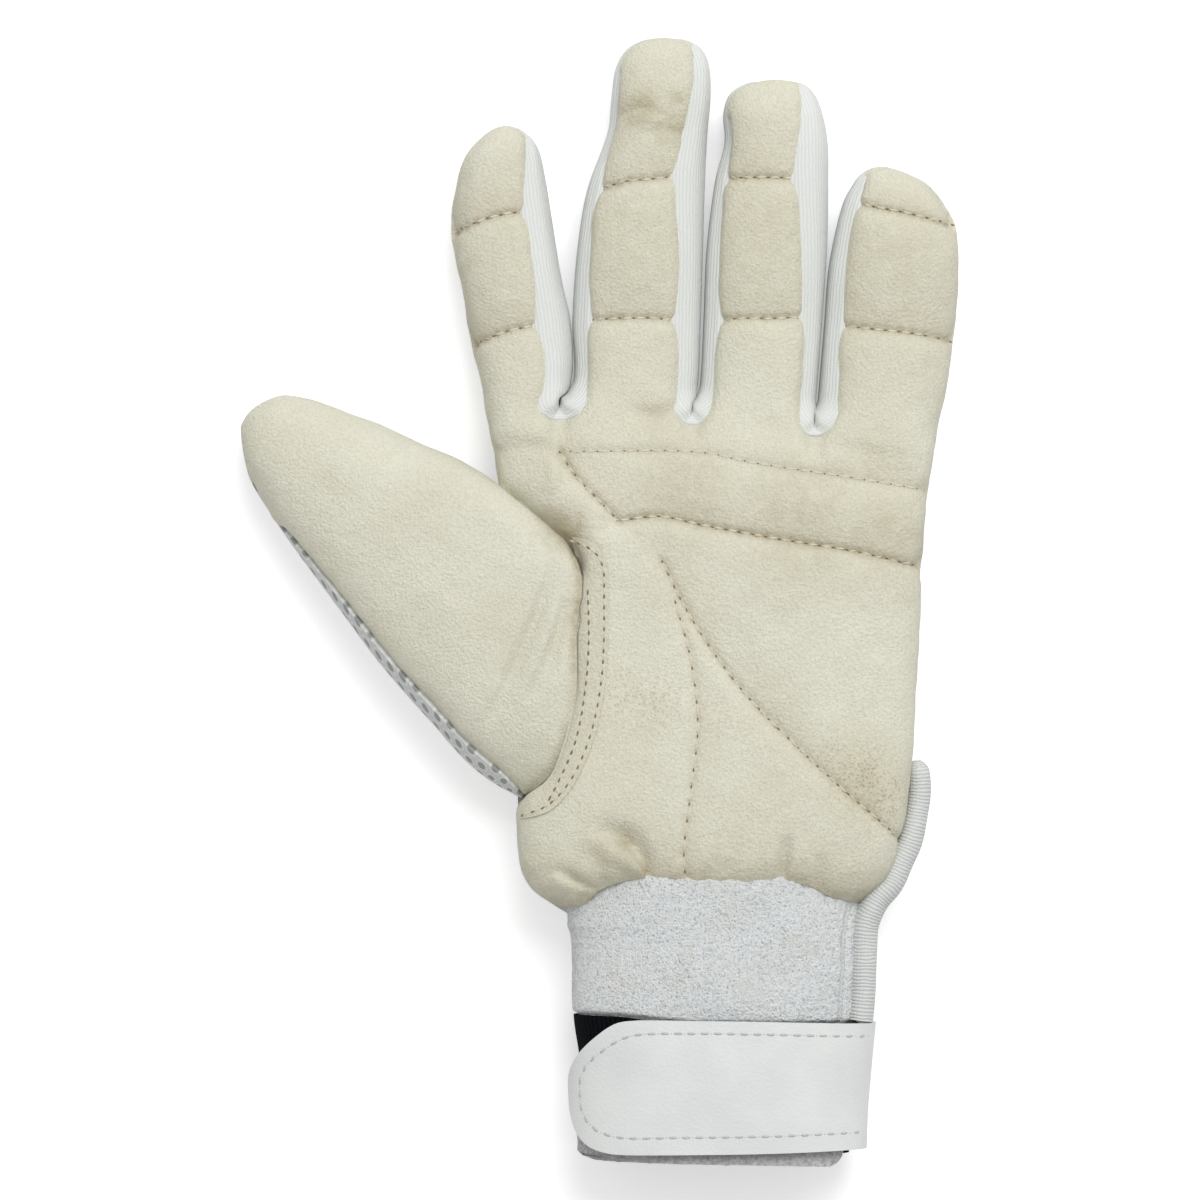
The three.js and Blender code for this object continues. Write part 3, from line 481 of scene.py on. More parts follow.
INDEX = Finger(
    name="index",
    knit=(Side.RIGHT,),
    rungs=[
        Rung((-24.5, 34.5), (-9.6, 33.0), KNUCKLE_TOP),
        Rung((-26.2, 41.0), (-9.9, 41.7), WEB_TOP, (0, 4.5)),
        Rung((-27.9, 51.0), (-6.7, 51.0), FINGER_TOP + 1, (0, 5.8)),
        Rung((-29.9, 59.3), (-6.9, 63.3), FINGER_TOP, (0, 6.6)),
        Rung((-32.4, 73.0), (-9.2, 74.5), FINGER_TOP, (0, 5.6)),
        Rung((-34.5, 84.8), (-11.6, 89.5), TIP_TOP + 1, (0, 4.8)),
        Rung((-33.6, 95.2), (-12.8, 97.0), TIP_TOP, (0, 4.0)),
        Rung((-31.4, 102.0), (-14.3, 103.5), TIP_TOP - 1, (0, 2.2)),
        Rung((-28.3, 105.8), (-16.2, 106.6), TIP_TOP - 3, (0, 0.6), 1.5),
        Rung((-24.6, 108.6), (-19.2, 108.7), TIP_TOP - 7, (0, 0), 4.5),
        Rung((-22.0, 109.2), (-21.6, 109.2), TIP_TOP - 11, (0, 0), TIP_TOP - 9.6),
    ],
    middle_seam=[(-30.5, 58.0), (-24.4, 60.6), (-19.8, 62.0), (-12.0, 63.2)],
    tip_seam=[(-35.0, 84.0), (-30.1, 86.1), (-25.5, 87.7), (-20.9, 88.7), (-15.0, 89.3)],
)
MIDDLE = Finger(
    name="middle",
    knit=(Side.LEFT, Side.RIGHT),
    rungs=[
        Rung((-8.4, 33.0), (20.4, 30.5), KNUCKLE_TOP),
        Rung((-9.3, 41.8), (20.7, 40.6), WEB_TOP, (5.2, 3.2)),
        Rung((-6.3, 51.0), (22.3, 49.0), FINGER_TOP + 1, (2.6, 4.3)),
        Rung((-6.6, 64.0), (23.0, 64.2), FINGER_TOP, (2.4, 4.5)),
        Rung((-5.5, 80.5), (23.5, 80.5), FINGER_TOP, (2.2, 5.0)),
        Rung((-3.2, 94.4), (24.0, 97.0), TIP_TOP + 1, (1.4, 6.0)),
        Rung((1.6, 108.0), (24.6, 108.0), TIP_TOP, (0, 4.6)),
        Rung((2.4, 115.5), (25.3, 116.0), TIP_TOP, (0, 3.8)),
        Rung((3.4, 122.6), (25.0, 122.8), TIP_TOP - 1, (0, 3.0)),
        Rung((5.8, 126.8), (23.4, 126.8), TIP_TOP - 3, (0, 1.6), 1.5),
        Rung((10.0, 129.1), (19.5, 129.1), TIP_TOP - 7, (0, 0), 4.5),
        Rung((14.4, 129.5), (15.0, 129.5), TIP_TOP - 11, (0, 0), TIP_TOP - 9.6),
    ],
    middle_seam=[(-5.0, 64.2), (11.3, 64.6), (15.9, 64.2), (20.0, 63.5)],
    tip_seam=[(-3.0, 94.2), (2.8, 95.3), (5.5, 96.0), (11.3, 96.5), (19.5, 97.6)],
)
RING = Finger(
    name="ring",
    knit=(Side.LEFT, Side.RIGHT),
    rungs=[
        Rung((21.6, 30.4), (48.4, 28.0), KNUCKLE_TOP),
        Rung((21.1, 40.6), (48.8, 37.8), WEB_TOP, (2.6, 2.8)),
        Rung((22.7, 49.0), (49.6, 46.5), FINGER_TOP + 1, (2.4, 3.2)),
        Rung((23.6, 64.0), (51.0, 64.6), FINGER_TOP, (2.1, 3.4)),
        Rung((24.3, 80.5), (52.1, 80.5), FINGER_TOP, (2.1, 5.3)),
        Rung((26.4, 97.0), (52.4, 96.0), TIP_TOP + 1, (0.9, 6.6)),
        Rung((28.5, 105.5), (52.3, 105.0), TIP_TOP, (0, 6.4)),
        Rung((28.2, 112.0), (51.1, 112.0), TIP_TOP - 1, (0, 4.4)),
        Rung((29.4, 116.2), (49.4, 116.3), TIP_TOP - 3, (0, 2.8), 1.5),
        Rung((32.2, 118.5), (47.4, 118.5), TIP_TOP - 5, (0, 1.4), 3.0),
        Rung((36.0, 119.6), (44.0, 119.6), TIP_TOP - 8, (0, 0), 5.5),
        Rung((39.6, 119.7), (40.2, 119.7), TIP_TOP - 11, (0, 0), TIP_TOP - 9.6),
    ],
    middle_seam=[(24.5, 64.1), (32.0, 64.5), (40.0, 64.5), (49.0, 65.1)],
    tip_seam=[(26.0, 96.9), (38.9, 96.9), (43.5, 96.7), (47.5, 95.8)],
)
LITTLE = Finger(
    name="little",
    knit=(Side.LEFT,),
    rungs=[
        Rung((49.6, 27.9), (75.2, 25.5), KNUCKLE_TOP),
        Rung((49.2, 37.8), (77.7, 39.8), WEB_TOP, (3.6, 0)),
        Rung((50.0, 46.5), (79.5, 47.5), FINGER_TOP + 1, (3.6, 0)),
        Rung((51.4, 63.2), (81.3, 60.2), FINGER_TOP, (2.6, 0)),
        Rung((52.6, 77.5), (82.5, 76.0), FINGER_TOP, (3.2, 0)),
        Rung((55.8, 91.4), (81.3, 86.8), TIP_TOP + 1, (2.0, 0)),
        Rung((57.6, 95.0), (78.4, 91.8), TIP_TOP - 0.5, (1.4, 0)),
        Rung((59.4, 97.6), (75.6, 95.2), TIP_TOP - 2.5, (0.8, 0), 1.5),
        Rung((61.6, 99.2), (71.4, 97.8), TIP_TOP - 6, (0, 0), 4.0),
        Rung((65.4, 99.8), (65.8, 99.8), TIP_TOP - 10, (0, 0), TIP_TOP - 8.6),
    ],
    middle_seam=[(53.0, 63.1), (63.0, 62.0), (68.8, 61.4), (74.5, 60.6), (80.5, 59.4)],
    tip_seam=[(56.5, 91.7), (64.2, 89.9), (68.8, 89.1), (73.4, 88.0), (81.0, 86.3)],
)
FINGERS = (INDEX, MIDDLE, RING, LITTLE)

# The hand runs from the knuckle seam down to the hem of the wrist band.
HAND_PALM_RUNGS = 7
HAND = Ladder(
    [
        Rung((-24.5, 34.5), (75.2, 25.5), KNUCKLE_TOP),
        Rung((-23.2, 24.0), (74.6, 18.5), PALM_TOP - 1),
        Rung((-22.0, 9.0), (73.8, 7.0), PALM_TOP),
        Rung((-21.5, -9.5), (73.0, -9.5), PALM_TOP + 0.5),
        Rung((-20.5, -27.5), (72.0, -27.5), HEEL_TOP - 1),
        Rung((-19.6, -44.0), (70.8, -44.0), HEEL_TOP),
        Rung((-19.3, -53.0), (70.0, -53.0), HEEL_TOP),
        Rung((-18.6, -61.0), (67.4, -61.0), HEEL_TOP - 0.5),
        Rung((-14.6, -69.0), (62.6, -69.0), CUFF_TOP + 1.0),
        Rung((-7.6, -75.0), (60.5, -75.0), CUFF_TOP),
        Rung((-6.5, -84.0), (60.5, -84.0), CUFF_TOP),
        Rung((-6.4, -96.0), (59.5, -96.0), CUFF_TOP),
        Rung((-5.0, -106.0), (58.4, -106.0), CUFF_TOP),
        Rung((-4.6, -118.0), (57.6, -118.0), CUFF_TOP),
        Rung((-4.0, -131.0), (57.0, -131.0), CUFF_TOP),
    ],
    lambda t, side: PALM_ROUND
    + (CUFF_ROUND - PALM_ROUND) * np.clip((np.asarray(t) - HAND_PALM_RUNGS) / 2, 0, 1),
)

# The thumb runs from its seam on the palm out to its tip.
THUMB_MESH = 3.2  # width of mesh seen beside the leather
THUMB_WRAP = -15.0  # the leather turns round the upper side to here
THUMB_ARC = 1.5  # rungs over which the curve of the seam fades
THUMB_ROUND = 2.4
CROTCH_ROUND = 5.0  # its root is boxier on the side of the index finger
CROTCH_FADE = (1.0, 3.5)  # rungs over which that ends
THUMB_LAP = 0.5  # the thumb laps over its seam by this
THUMB = Ladder(
    [
        Rung((-12.5, -46.5), (-6.6, 13.0), THUMB_TOP + 1),
        Rung((-27.6, -40.1), (-18.5, 22.6), THUMB_TOP + 0.5, (THUMB_MESH, 0)),
        Rung((-39.1, -28.2), (-31.0, 31.3), THUMB_TOP, (THUMB_MESH, 0)),
        Rung((-51.0, -14.6), (-43.0, 36.6), THUMB_TOP - 1.5, (THUMB_MESH - 0.4, 0)),
        Rung((-61.3, -0.8), (-53.0, 41.0), THUMB_TOP - 3.5, (THUMB_MESH - 1, 0)),
        Rung((-69.5, 10.2), (-61.0, 44.2), THUMB_TOP - 5.5, (THUMB_MESH - 2, 0)),
        Rung((-76.6, 20.4), (-68.0, 46.2), THUMB_TOP - 7.5),
        Rung((-81.0, 28.0), (-74.0, 47.0), THUMB_TOP - 9.5, bottom=1.0),
        Rung((-82.4, 33.4), (-78.4, 45.2), THUMB_TOP - 12.5, bottom=3.0),
        Rung((-83.0, 37.6), (-81.6, 42.6), THUMB_TOP - 16.0, bottom=6.0),
        Rung((-83.1, 39.8), (-82.9, 40.4), THUMB_TOP - 19.0, bottom=THUMB_TOP - 17.6),
    ],
    lambda t, side: THUMB_ROUND
    + (CROTCH_ROUND - THUMB_ROUND) * (side is Side.RIGHT) * (1.0 - rise(np.asarray(t), *CROTCH_FADE)),
)


@dataclass(frozen=True)
class Seam:
    """Sewn line on the palm side, with its thread."""

    name: str
    points: list[tuple[float, float]]
    pitch: float = 3.1  # from stitch to stitch
    drawn_in: float = 1.0  # share of the full depth
    # the dark gap at a needle hole is painted shade
    hole: float = 1.9  # length of the dark gap at each needle hole, in hole widths


UPPER_SEAM = Seam(
    "upper", [(-7.0, 33.9), (22.8, 33.7), (34.3, 31.4), (57.3, 27.9), (74.0, 25.2)], drawn_in=0.45, hole=1.0
)
DIAGONAL_SEAM = Seam("diagonal", [(-9.4, 33.7), (-6.0, 28.6), (-0.2, 22.4), (3.9, 18.1)])
BAR_SEAM = Seam(
    "bar", [(3.9, 18.1), (14.0, 19.0), (22.8, 17.1), (45.8, 13.0), (57.3, 11.2), (73.0, 7.6)], drawn_in=1.3
)
SLANT_SEAM = Seam(
    "slant",
    [(14.0, 8.6), (19.3, -2.0), (26.2, -12.8), (34.3, -23.1), (45.8, -34.6), (55.0, -43.1), (69.5, -55.5)],
    drawn_in=0.75,
)
HEEL_SEAM = Seam(
    "heel",
    [(17.0, -0.6), (20.5, -13.9), (22.1, -28.9), (20.5, -43.8), (18.9, -58.8), (19.8, -66.0)],
    pitch=3.9,
    drawn_in=0.45,
)
PALM_SEAMS = (UPPER_SEAM, DIAGONAL_SEAM, BAR_SEAM, SLANT_SEAM, HEEL_SEAM)

THUMB_FOLD = Curve(
    [(-18.6, -46.1), (-12.2, -40.4), (-8.3, -30.0), (-6.2, -20.8), (-6.0, -5.9), (-4.8, 5.2), (-6.9, 13.2)]
)
THUMB_EDGE = Curve([(-24.6, 27.5), (-16.3, 20.6), (-10.6, 16.0), (-7.0, 12.6), (-6.4, 8.0)])
WELT_ROWS = (
    Seam(
        "welt_inner",
        [(-11.7, -45.4), (-9.9, -42.0), (-5.8, -32.3), (-3.5, -19.7), (-2.8, -9.3), (-3.0, 1.6)],
        pitch=2.3,
        hole=2.6,
    ),
    Seam(
        "welt_outer",
        [(-18.0, -49.4), (-12.2, -47.0), (-7.1, -41.5), (-2.5, -31.2), (0.2, -17.4), (0.7, -0.1), (0.4, 7.4),
         (-1.2, 10.5), (-4.0, 12.4), (-6.4, 13.2)],
        pitch=2.5,
        hole=2.2,
    ),
)
WELT_EDGE = Curve(
    [(-18.8, -50.4), (-11.6, -48.2), (-6.2, -42.2), (-1.5, -31.4), (1.2, -17.4), (1.8, -0.1), (1.5, 7.6),
     (-0.4, 11.4), (-3.6, 13.6), (-6.8, 14.2)]
)
HEEL_FOOT = Curve(
    [(-16.0, -71.6), (-9.4, -70.3), (-3.7, -67.3), (6.7, -64.1), (13.6, -64.5), (34.3, -65.2), (43.5, -64.7),
     (55.0, -68.4), (66.0, -71.4)]
)


def heel_edge(x: Array) -> Array:
    """Returns the heights y of the lower edge of the palm at places x."""
    line = HEEL_FOOT.spaced()
    return np.interp(x, line[:, 0], line[:, 1])


def thumb_seam(y: Array) -> Array:
    """Returns the places x of the seam of the thumb at heights y."""
    line = THUMB_FOLD.spaced()
    return np.interp(y, line[:, 1], line[:, 0])


def thumb_mesh_share(t: Array) -> Array:
    """Returns the share across the thumb, -1 to 1, where its mesh meets the leather."""
    return -1.0 + 2.0 * THUMB.knits.at(t)[:, 0] / np.maximum(THUMB.width(t), 1e-3)


@dataclass(frozen=True)
class Crease:
    """Soft fold in the leather; a negative depth is a ridge. It fades towards both ends.

    It leans to the left of its run where lean is positive: wider on that side, steeper on the other.
    """

    points: list[tuple[float, float]]
    depth: float
    width: float
    lean: float = 0.0


PALM_CREASES = (
    Crease([(-1.0, -52.8), (4.9, -54.7), (7.8, -58.0), (10.0, -62.2), (9.4, -66.0)], 3.0, 2.0, 0.55),
    Crease([(-4.0, -54.0), (2.0, -57.4), (5.4, -61.0), (6.6, -66.0)], -1.2, 2.2),
    Crease([(-11.0, -61.4), (-7.2, -64.4), (-3.4, -67.4)], 1.5, 1.5, 0.4),
    Crease([(42.8, -54.0), (42.0, -59.0), (42.4, -65.5)], 1.8, 1.5),
    Crease([(50.0, -58.0), (50.5, -62.0), (50.0, -67.5)], 0.8, 1.7),
    Crease([(30.0, -59.0), (29.0, -62.5), (29.4, -66.5)], 0.6, 1.6),
    Crease([(-4.6, 20.0), (-5.2, 16.7), (-6.4, 13.4)], 0.8, 1.1),
    Crease([(2.6, 16.6), (-2.0, 15.8), (-5.6, 14.0)], 0.5, 1.2),
    Crease([(-12.0, 33.0), (-10.6, 29.4), (-12.4, 24.0)], -0.9, 1.8),
    Crease([(6.0, 43.6), (12.0, 42.4), (18.6, 43.8)], 0.9, 1.4),
    Crease([(3.0, 111.0), (9.0, 112.6), (16.0, 110.6)], 0.6, 1.2),
    Crease([(9.0, 106.6), (15.0, 108.0), (21.0, 106.0)], 0.6, 1.2),
    Crease([(52.0, 35.6), (63.0, 33.4), (75.6, 31.6)], 0.7, 1.9),
    Crease([(57.0, 31.2), (66.0, 29.6), (75.0, 28.2)], 0.5, 1.5),
    Crease([(-21.0, 36.0), (-15.0, 35.0), (-9.0, 36.6)], 0.5, 1.8),
)
THUMB_CREASES = (
    Crease([(-10.4, 10.6), (-14.0, -1.0), (-19.0, -13.0), (-26.6, -29.0)], 1.5, 1.5, 0.3),
    Crease([(-12.6, 9.6), (-16.4, -2.0), (-21.4, -14.0), (-28.0, -28.0)], -0.8, 1.6),
    Crease([(-13.8, 3.6), (-17.6, -6.0), (-23.4, -19.0)], 0.8, 1.4, 0.3),
    Crease([(-8.0, 0.4), (-11.6, -11.0), (-17.6, -24.0)], 1.3, 1.4, 0.3),
    Crease([(-9.8, -1.4), (-13.4, -13.0), (-19.0, -24.0)], -0.7, 1.4),
    Crease([(-7.8, 7.0), (-9.4, -4.0), (-12.6, -18.0)], 0.9, 1.3, 0.3),
)


def select_only(piece: Piece) -> None:
    """Selects one object and makes it active.

    Args:
        piece: the object.
    """
    bpy.ops.object.select_all(action="DESELECT")
    piece.select_set(True)
    bpy.context.view_layer.objects.active = piece


def apply_modifier(piece: Piece, kind: str, **settings: object) -> None:
    """Adds a modifier and applies it.

    Args:
        piece: the mesh.
        kind: the modifier's type.
        settings: its settings.
    """
    select_only(piece)
    modifier = piece.modifiers.new(kind.lower(), kind)
    for name, value in settings.items():
        setattr(modifier, name, value)
    bpy.ops.object.modifier_apply(modifier=modifier.name)


@contextmanager
def editing(piece: Piece, faces: Array | None = None) -> Iterator[None]:
    """Opens a mesh for edit operators.

    Args:
        piece: the mesh.
        faces: which faces are selected; all of them if not given.

    Yields:
        Nothing, while the mesh is open.
    """
    select_only(piece)
    bpy.ops.object.mode_set(mode="EDIT")
    bpy.ops.mesh.select_mode(type="FACE")
    bpy.ops.mesh.select_all(action="SELECT" if faces is None else "DESELECT")
    if faces is not None:
        bpy.ops.object.mode_set(mode="OBJECT")
        piece.data.polygons.foreach_set("select", faces)
        bpy.ops.object.mode_set(mode="EDIT")
    yield
    bpy.ops.object.mode_set(mode="OBJECT")


def read(items: bpy.types.bpy_prop_collection, key: str, width: int = 1, kind: type = np.int32) -> Array:
    """Reads numbers from a mesh.

    Args:
        items: its vertices, edges, corners, faces or marks.
        key: what is read.
        width: numbers of an item.
        kind: type of the numbers.

    Returns:
        The numbers, (n,) or (n, width).
    """
    values = np.zeros(len(items) * width, kind)
    items.foreach_get(key, values)
    return values if width == 1 else values.reshape(-1, width)


def places(piece: Piece, key: str = "co") -> Array:
    """Returns the places of the vertices, or their normals, (n, 3)."""
    return read(piece.data.vertices, key, 3, np.float32).astype(float)


def move_to(piece: Piece, points: Array) -> None:
    """Puts the vertices at points in metres."""
    piece.data.vertices.foreach_set("co", points.astype(np.float32).ravel())
    piece.data.update()


def in_hand(points: Array) -> Array:
    """Returns model points in metres as millimetres from the middle of the hand."""
    return points / MM - SHIFT


def in_model(points: Array) -> Array:
    """Returns hand points in millimetres as metres in the model's frame."""
    return (points + SHIFT) * MM


def grid_sheet(name: str, points: Array, closed: bool = False) -> Piece:
    """Makes a sheet from a grid of points.

    Args:
        name: name of the piece.
        points: places in millimetres, (rows, columns, 3); the face looks up where columns run to
            the right and rows run away.
        closed: the last column meets the first.

    Returns:
        The sheet, with a UV map in millimetres across from its middle and along its rows.
    """
    if closed:
        points = np.concatenate([points, points[:, :1]], axis=1)
    rows, columns = points.shape[:2]
    bpy.ops.object.select_all(action="DESELECT")
    bpy.ops.mesh.primitive_grid_add(x_subdivisions=columns - 1, y_subdivisions=rows - 1, size=1.0)
    piece = bpy.context.object
    piece.name = piece.data.name = name
    move_to(piece, in_model(points).reshape(-1, 3))
    u = running(strides(points, 1), 1)
    u -= u[:, -1:] / 2
    v = running(strides(points).mean(axis=1))
    spots = np.stack(np.broadcast_arrays(u, v[:, None]), axis=-1).reshape(-1, 2)
    corners = read(piece.data.loops, "vertex_index")
    piece.data.uv_layers[0].data.foreach_set("uv", spots[corners].astype(np.float32).ravel())
    if closed:
        with editing(piece):
            bpy.ops.mesh.remove_doubles(threshold=CLOSE_WELD)
    return piece


def arcs(points: Array) -> tuple[Array, Array]:
    """Returns the length of each row and of each column of a grid of points."""
    return strides(points, 1).sum(axis=1), strides(points).sum(axis=0)


def mark(piece: Piece, name: str, values: Array) -> None:
    """Stores one value for each vertex under a name that a finish reads."""
    attribute = piece.data.attributes.get(name) or piece.data.attributes.new(name, "FLOAT", "POINT")
    attribute.data.foreach_set("value", values.astype(np.float32))


def shade(piece: Piece, angle: float = 50.0) -> None:
    """Shades a piece smoothly over edges of less than an angle in degrees."""
    select_only(piece)
    bpy.ops.object.shade_smooth_by_angle(angle=math.radians(angle))


def thicken(piece: Piece, thickness: float, angle: float = 50.0) -> None:
    """Gives a sheet its thickness, inwards from its face, and smooth shading."""
    apply_modifier(piece, "SOLIDIFY", thickness=thickness * MM, offset=-1.0, use_even_offset=False)
    shade(piece, angle)


def subdivide(piece: Piece) -> None:
    """Splits each face of a sheet into four, rounded."""
    apply_modifier(piece, "SUBSURF", levels=1, render_levels=1)


def surface_of(piece: Piece) -> BVHTree:
    """Returns the faces of a piece, ready for rays."""
    return BVHTree.FromObject(piece, bpy.context.evaluated_depsgraph_get())


def push(piece: Piece, heights: Array) -> None:
    """Moves the vertices along their normals by heights in millimetres."""
    move_to(piece, places(piece) + places(piece, "normal") * heights[:, None] * MM)


def uneven(piece: Piece, wave: Wave) -> None:
    """Makes the surface of a piece a little uneven."""
    push(piece, waves(in_hand(places(piece)), wave))


def joined(name: str, pieces: Sequence[Piece]) -> Piece:
    """Joins sheets into one and welds where they meet.

    Args:
        name: name of the whole.
        pieces: the sheets.

    Returns:
        The whole.
    """
    bpy.ops.object.select_all(action="DESELECT")
    for piece in pieces:
        piece.select_set(True)
    bpy.context.view_layer.objects.active = pieces[0]
    bpy.ops.object.join()
    whole = bpy.context.object
    whole.name = whole.data.name = name
    with editing(whole):
        bpy.ops.mesh.remove_doubles(threshold=JOIN_WELD)
    return whole


ZONE = "zone"


def weigh(piece: Piece, name: str, weights: Array, least: float = 0.01) -> str:
    """Makes a vertex group.

    Args:
        piece: the mesh.
        name: name of the group.
        weights: weight of each vertex.
        least: vertices with less stay out.

    Returns:
        The group's name.
    """
    group = piece.vertex_groups.new(name=name)
    for index in np.flatnonzero(weights > least):
        group.add([int(index)], float(weights[index]), "REPLACE")
    return group.name


def set_zone(piece: Piece, zone: int) -> None:
    """Marks all faces of a sheet as one zone, so that it can be parted again later."""
    attribute = piece.data.attributes.new(ZONE, "INT", "FACE")
    attribute.data.foreach_set("value", np.full(len(piece.data.polygons), zone, np.int32))


def part_zone(whole: Piece, zone: int, name: str) -> Piece:
    """Parts the faces of one zone from a joined sheet into a piece of their own.

    Args:
        whole: the joined sheet.
        zone: which zone.
        name: name of the piece.

    Returns:
        The piece.
    """
    before = set(bpy.data.objects)
    with editing(whole, read(whole.data.attributes[ZONE].data, "value") == zone):
        bpy.ops.mesh.separate(type="SELECTED")
    piece = (set(bpy.data.objects) - before).pop()
    piece.name = piece.data.name = name
    return piece


class Graph:
    """Short way to place and link nodes in a material or a node group."""

    def __init__(self, tree: Tree) -> None:
        """Keeps the tree."""
        self.tree = tree

    def set(self, node: bpy.types.Node, inputs: dict[str | int, object]) -> bpy.types.Node:
        """Sets values on a node's inputs, or links sockets to them.

        Args:
            node: the node.
            inputs: values or sockets, by name or number.

        Returns:
            The node.
        """
        for name, value in inputs.items():
            if isinstance(value, Socket):
                self.tree.links.new(value, node.inputs[name])
            else:
                node.inputs[name].default_value = value
        return node

    def node(
        self, kind: str, inputs: dict[str | int, object] | None = None, **settings: object
    ) -> bpy.types.Node:
        """Adds a node.

        Args:
            kind: the node's type without its ShaderNode prefix.
            inputs: values or sockets for its inputs, by name or number.
            settings: the node's own settings.

        Returns:
            The node.
        """
        made = self.tree.nodes.new("ShaderNode" + kind)
        for name, value in settings.items():
            setattr(made, name, value)
        return self.set(made, inputs or {})

    def math(self, operation: str, *values: object) -> Socket:
        """Returns the result of a math node on values or sockets."""
        return self.node("Math", dict(enumerate(values)), operation=operation).outputs[0]

    def mix(self, share: object, one: object, other: object) -> Socket:
        """Returns one colour mixed with another."""
        return self.node("Mix", {0: share, 6: one, 7: other}, data_type="RGBA").outputs[2]

    def spread(
        self, value: object, low: float, high: float, start: float = 0.0, end: float = 1.0
    ) -> Socket:
        """Returns a value brought from low..high to start..end, and held there."""
        return self.node("MapRange", {0: value, 1: low, 2: high, 3: start, 4: end}).outputs[0]

    def where(self) -> Socket:
        """Returns the object coordinates."""
        return (self.tree.nodes.get("where") or self.node("TexCoord", name="where")).outputs["Object"]

    def noise(self, size: float, detail: float = 3.0, rough: float = 0.6) -> Socket:
        """Returns noise with features of a size in millimetres."""
        inputs = {"Vector": self.where(), "Scale": 1.0 / (size * MM), "Detail": detail, "Roughness": rough}
        return self.node("TexNoise", inputs).outputs["Fac"]

    def cells(self, size: float) -> Socket:
        """Returns the distance to the middle of the nearest of scattered cells of a size in millimetres."""
        inputs = {"Vector": self.where(), "Scale": 1.0 / (size * MM)}
        return self.node("TexVoronoi", inputs).outputs["Distance"]

    def mask(self, name: str) -> Socket:
        """Returns a value stored on the mesh."""
        return self.node("Attribute", attribute_name=name).outputs["Fac"]

    def bump(self, height: object, depth: float, strength: float = 0.8) -> Socket:
        """Returns the normal of a relief whose depth is in millimetres."""
        return self.node("Bump", {"Strength": strength, "Distance": depth * MM, "Height": height}).outputs[0]

    def use(self, group: Tree, inputs: dict[str, object]) -> Socket:
        """Returns the output of a shared group."""
        return self.set(self.node("Group", node_tree=group), inputs).outputs[0]


Tone = tuple[float, float, float]


def colour(tone: Sequence[float]) -> tuple[float, float, float, float]:
    """Brings a tone to linear values.

    Args:
        tone: red, green and blue in screen values of 0 to 255.

    Returns:
        Linear red, green and blue, and 1.
    """
    shares = [part / 255.0 for part in tone]
    parts = [share / 12.92 if share <= 0.04045 else ((share + 0.055) / 1.055) ** 2.4 for share in shares]
    return (*parts, 1.0)


def new_finish(name: str) -> tuple[Material, Graph, bpy.types.Node]:
    """Starts a material.

    Args:
        name: its name.

    Returns:
        The material, its graph and its shader.
    """
    material = bpy.data.materials.new(name)
    material.use_nodes = True
    return material, Graph(material.node_tree), material.node_tree.nodes["Principled BSDF"]


def shared_group(
    name: str, inputs: dict[str, float], output: str
) -> tuple[Graph, bpy.types.Node, bpy.types.Node]:
    """Starts a shader node group.

    Args:
        name: name of the group.
        inputs: its number inputs with their defaults; it also takes a place.
        output: name of its one number output.

    Returns:
        The group's graph, the node of its inputs and the node of its output.
    """
    group = bpy.data.node_groups.new(name, "ShaderNodeTree")
    group.interface.new_socket("Place", in_out="INPUT", socket_type="NodeSocketVector")
    for key, value in inputs.items():
        group.interface.new_socket(key, in_out="INPUT", socket_type="NodeSocketFloat").default_value = value
    group.interface.new_socket(output, in_out="OUTPUT", socket_type="NodeSocketFloat")
    return Graph(group), group.nodes.new("NodeGroupInput"), group.nodes.new("NodeGroupOutput")


def rib_group() -> Tree:
    """Builds knit ribs: waves along one direction, a little uneven.

    Returns:
        The node group.
    """
    graph, entry, leave = shared_group("knit_ribs", {"Pitch": 1.0, "Stitch": 1.0}, "Height")
    parts = graph.node("SeparateXYZ", {0: entry.outputs["Place"]})
    wobble = graph.node("TexNoise", {"Vector": entry.outputs["Place"], "Scale": 0.35, "Detail": 2.0})
    shifted = graph.math("ADD", parts.outputs[0], graph.math("MULTIPLY", wobble.outputs["Fac"], 0.9))
    wave = graph.math("DIVIDE", shifted, entry.outputs["Pitch"])
    rib = graph.math("ABSOLUTE", graph.math("SINE", graph.math("MULTIPLY", wave, math.pi)))
    cross = graph.math("DIVIDE", parts.outputs[1], entry.outputs["Stitch"])
    loop = graph.math("SINE", graph.math("MULTIPLY", cross, 2.0 * math.pi))
    graph.set(leave, {"Height": graph.math("ADD", rib, graph.math("MULTIPLY", loop, 0.12))})
    return graph.tree


def hole_group() -> Tree:
    """Builds the holes of spacer mesh, by the distance to the nearest hole of two lattices.

    Returns:
        The node group.
    """
    graph, entry, leave = shared_group("mesh_holes", {"Pitch": 4.0}, "Distance")
    parts = graph.node("SeparateXYZ", {0: entry.outputs["Place"]})
    pitch = entry.outputs["Pitch"]
    tall = graph.math("MULTIPLY", pitch, math.sqrt(3.0))
    gaps = []
    for shift in (0.0, 0.5):
        legs = []
        for k, step in ((0, pitch), (1, tall)):
            count = graph.math("ADD", graph.math("DIVIDE", parts.outputs[k], step), shift)
            off = graph.math("SUBTRACT", graph.math("FRACT", count), 0.5)
            legs.append(graph.math("POWER", graph.math("MULTIPLY", off, step), 2.0))
        gaps.append(graph.math("SQRT", graph.math("ADD", *legs)))
    graph.set(leave, {"Distance": graph.math("MINIMUM", *gaps)})
    return graph.tree


# Mask of soil and of painted shade in seams and folds
SOIL_AND_SHADE = "soil"
# Mask of stains and of painted shade along the heel's lower edge
STAIN_AND_SHADE = "stain"
PORES = "pores"
LOOPS = "loops"
HOLE_PITCH = 4.1
HOLE_RADIUS = 1.15


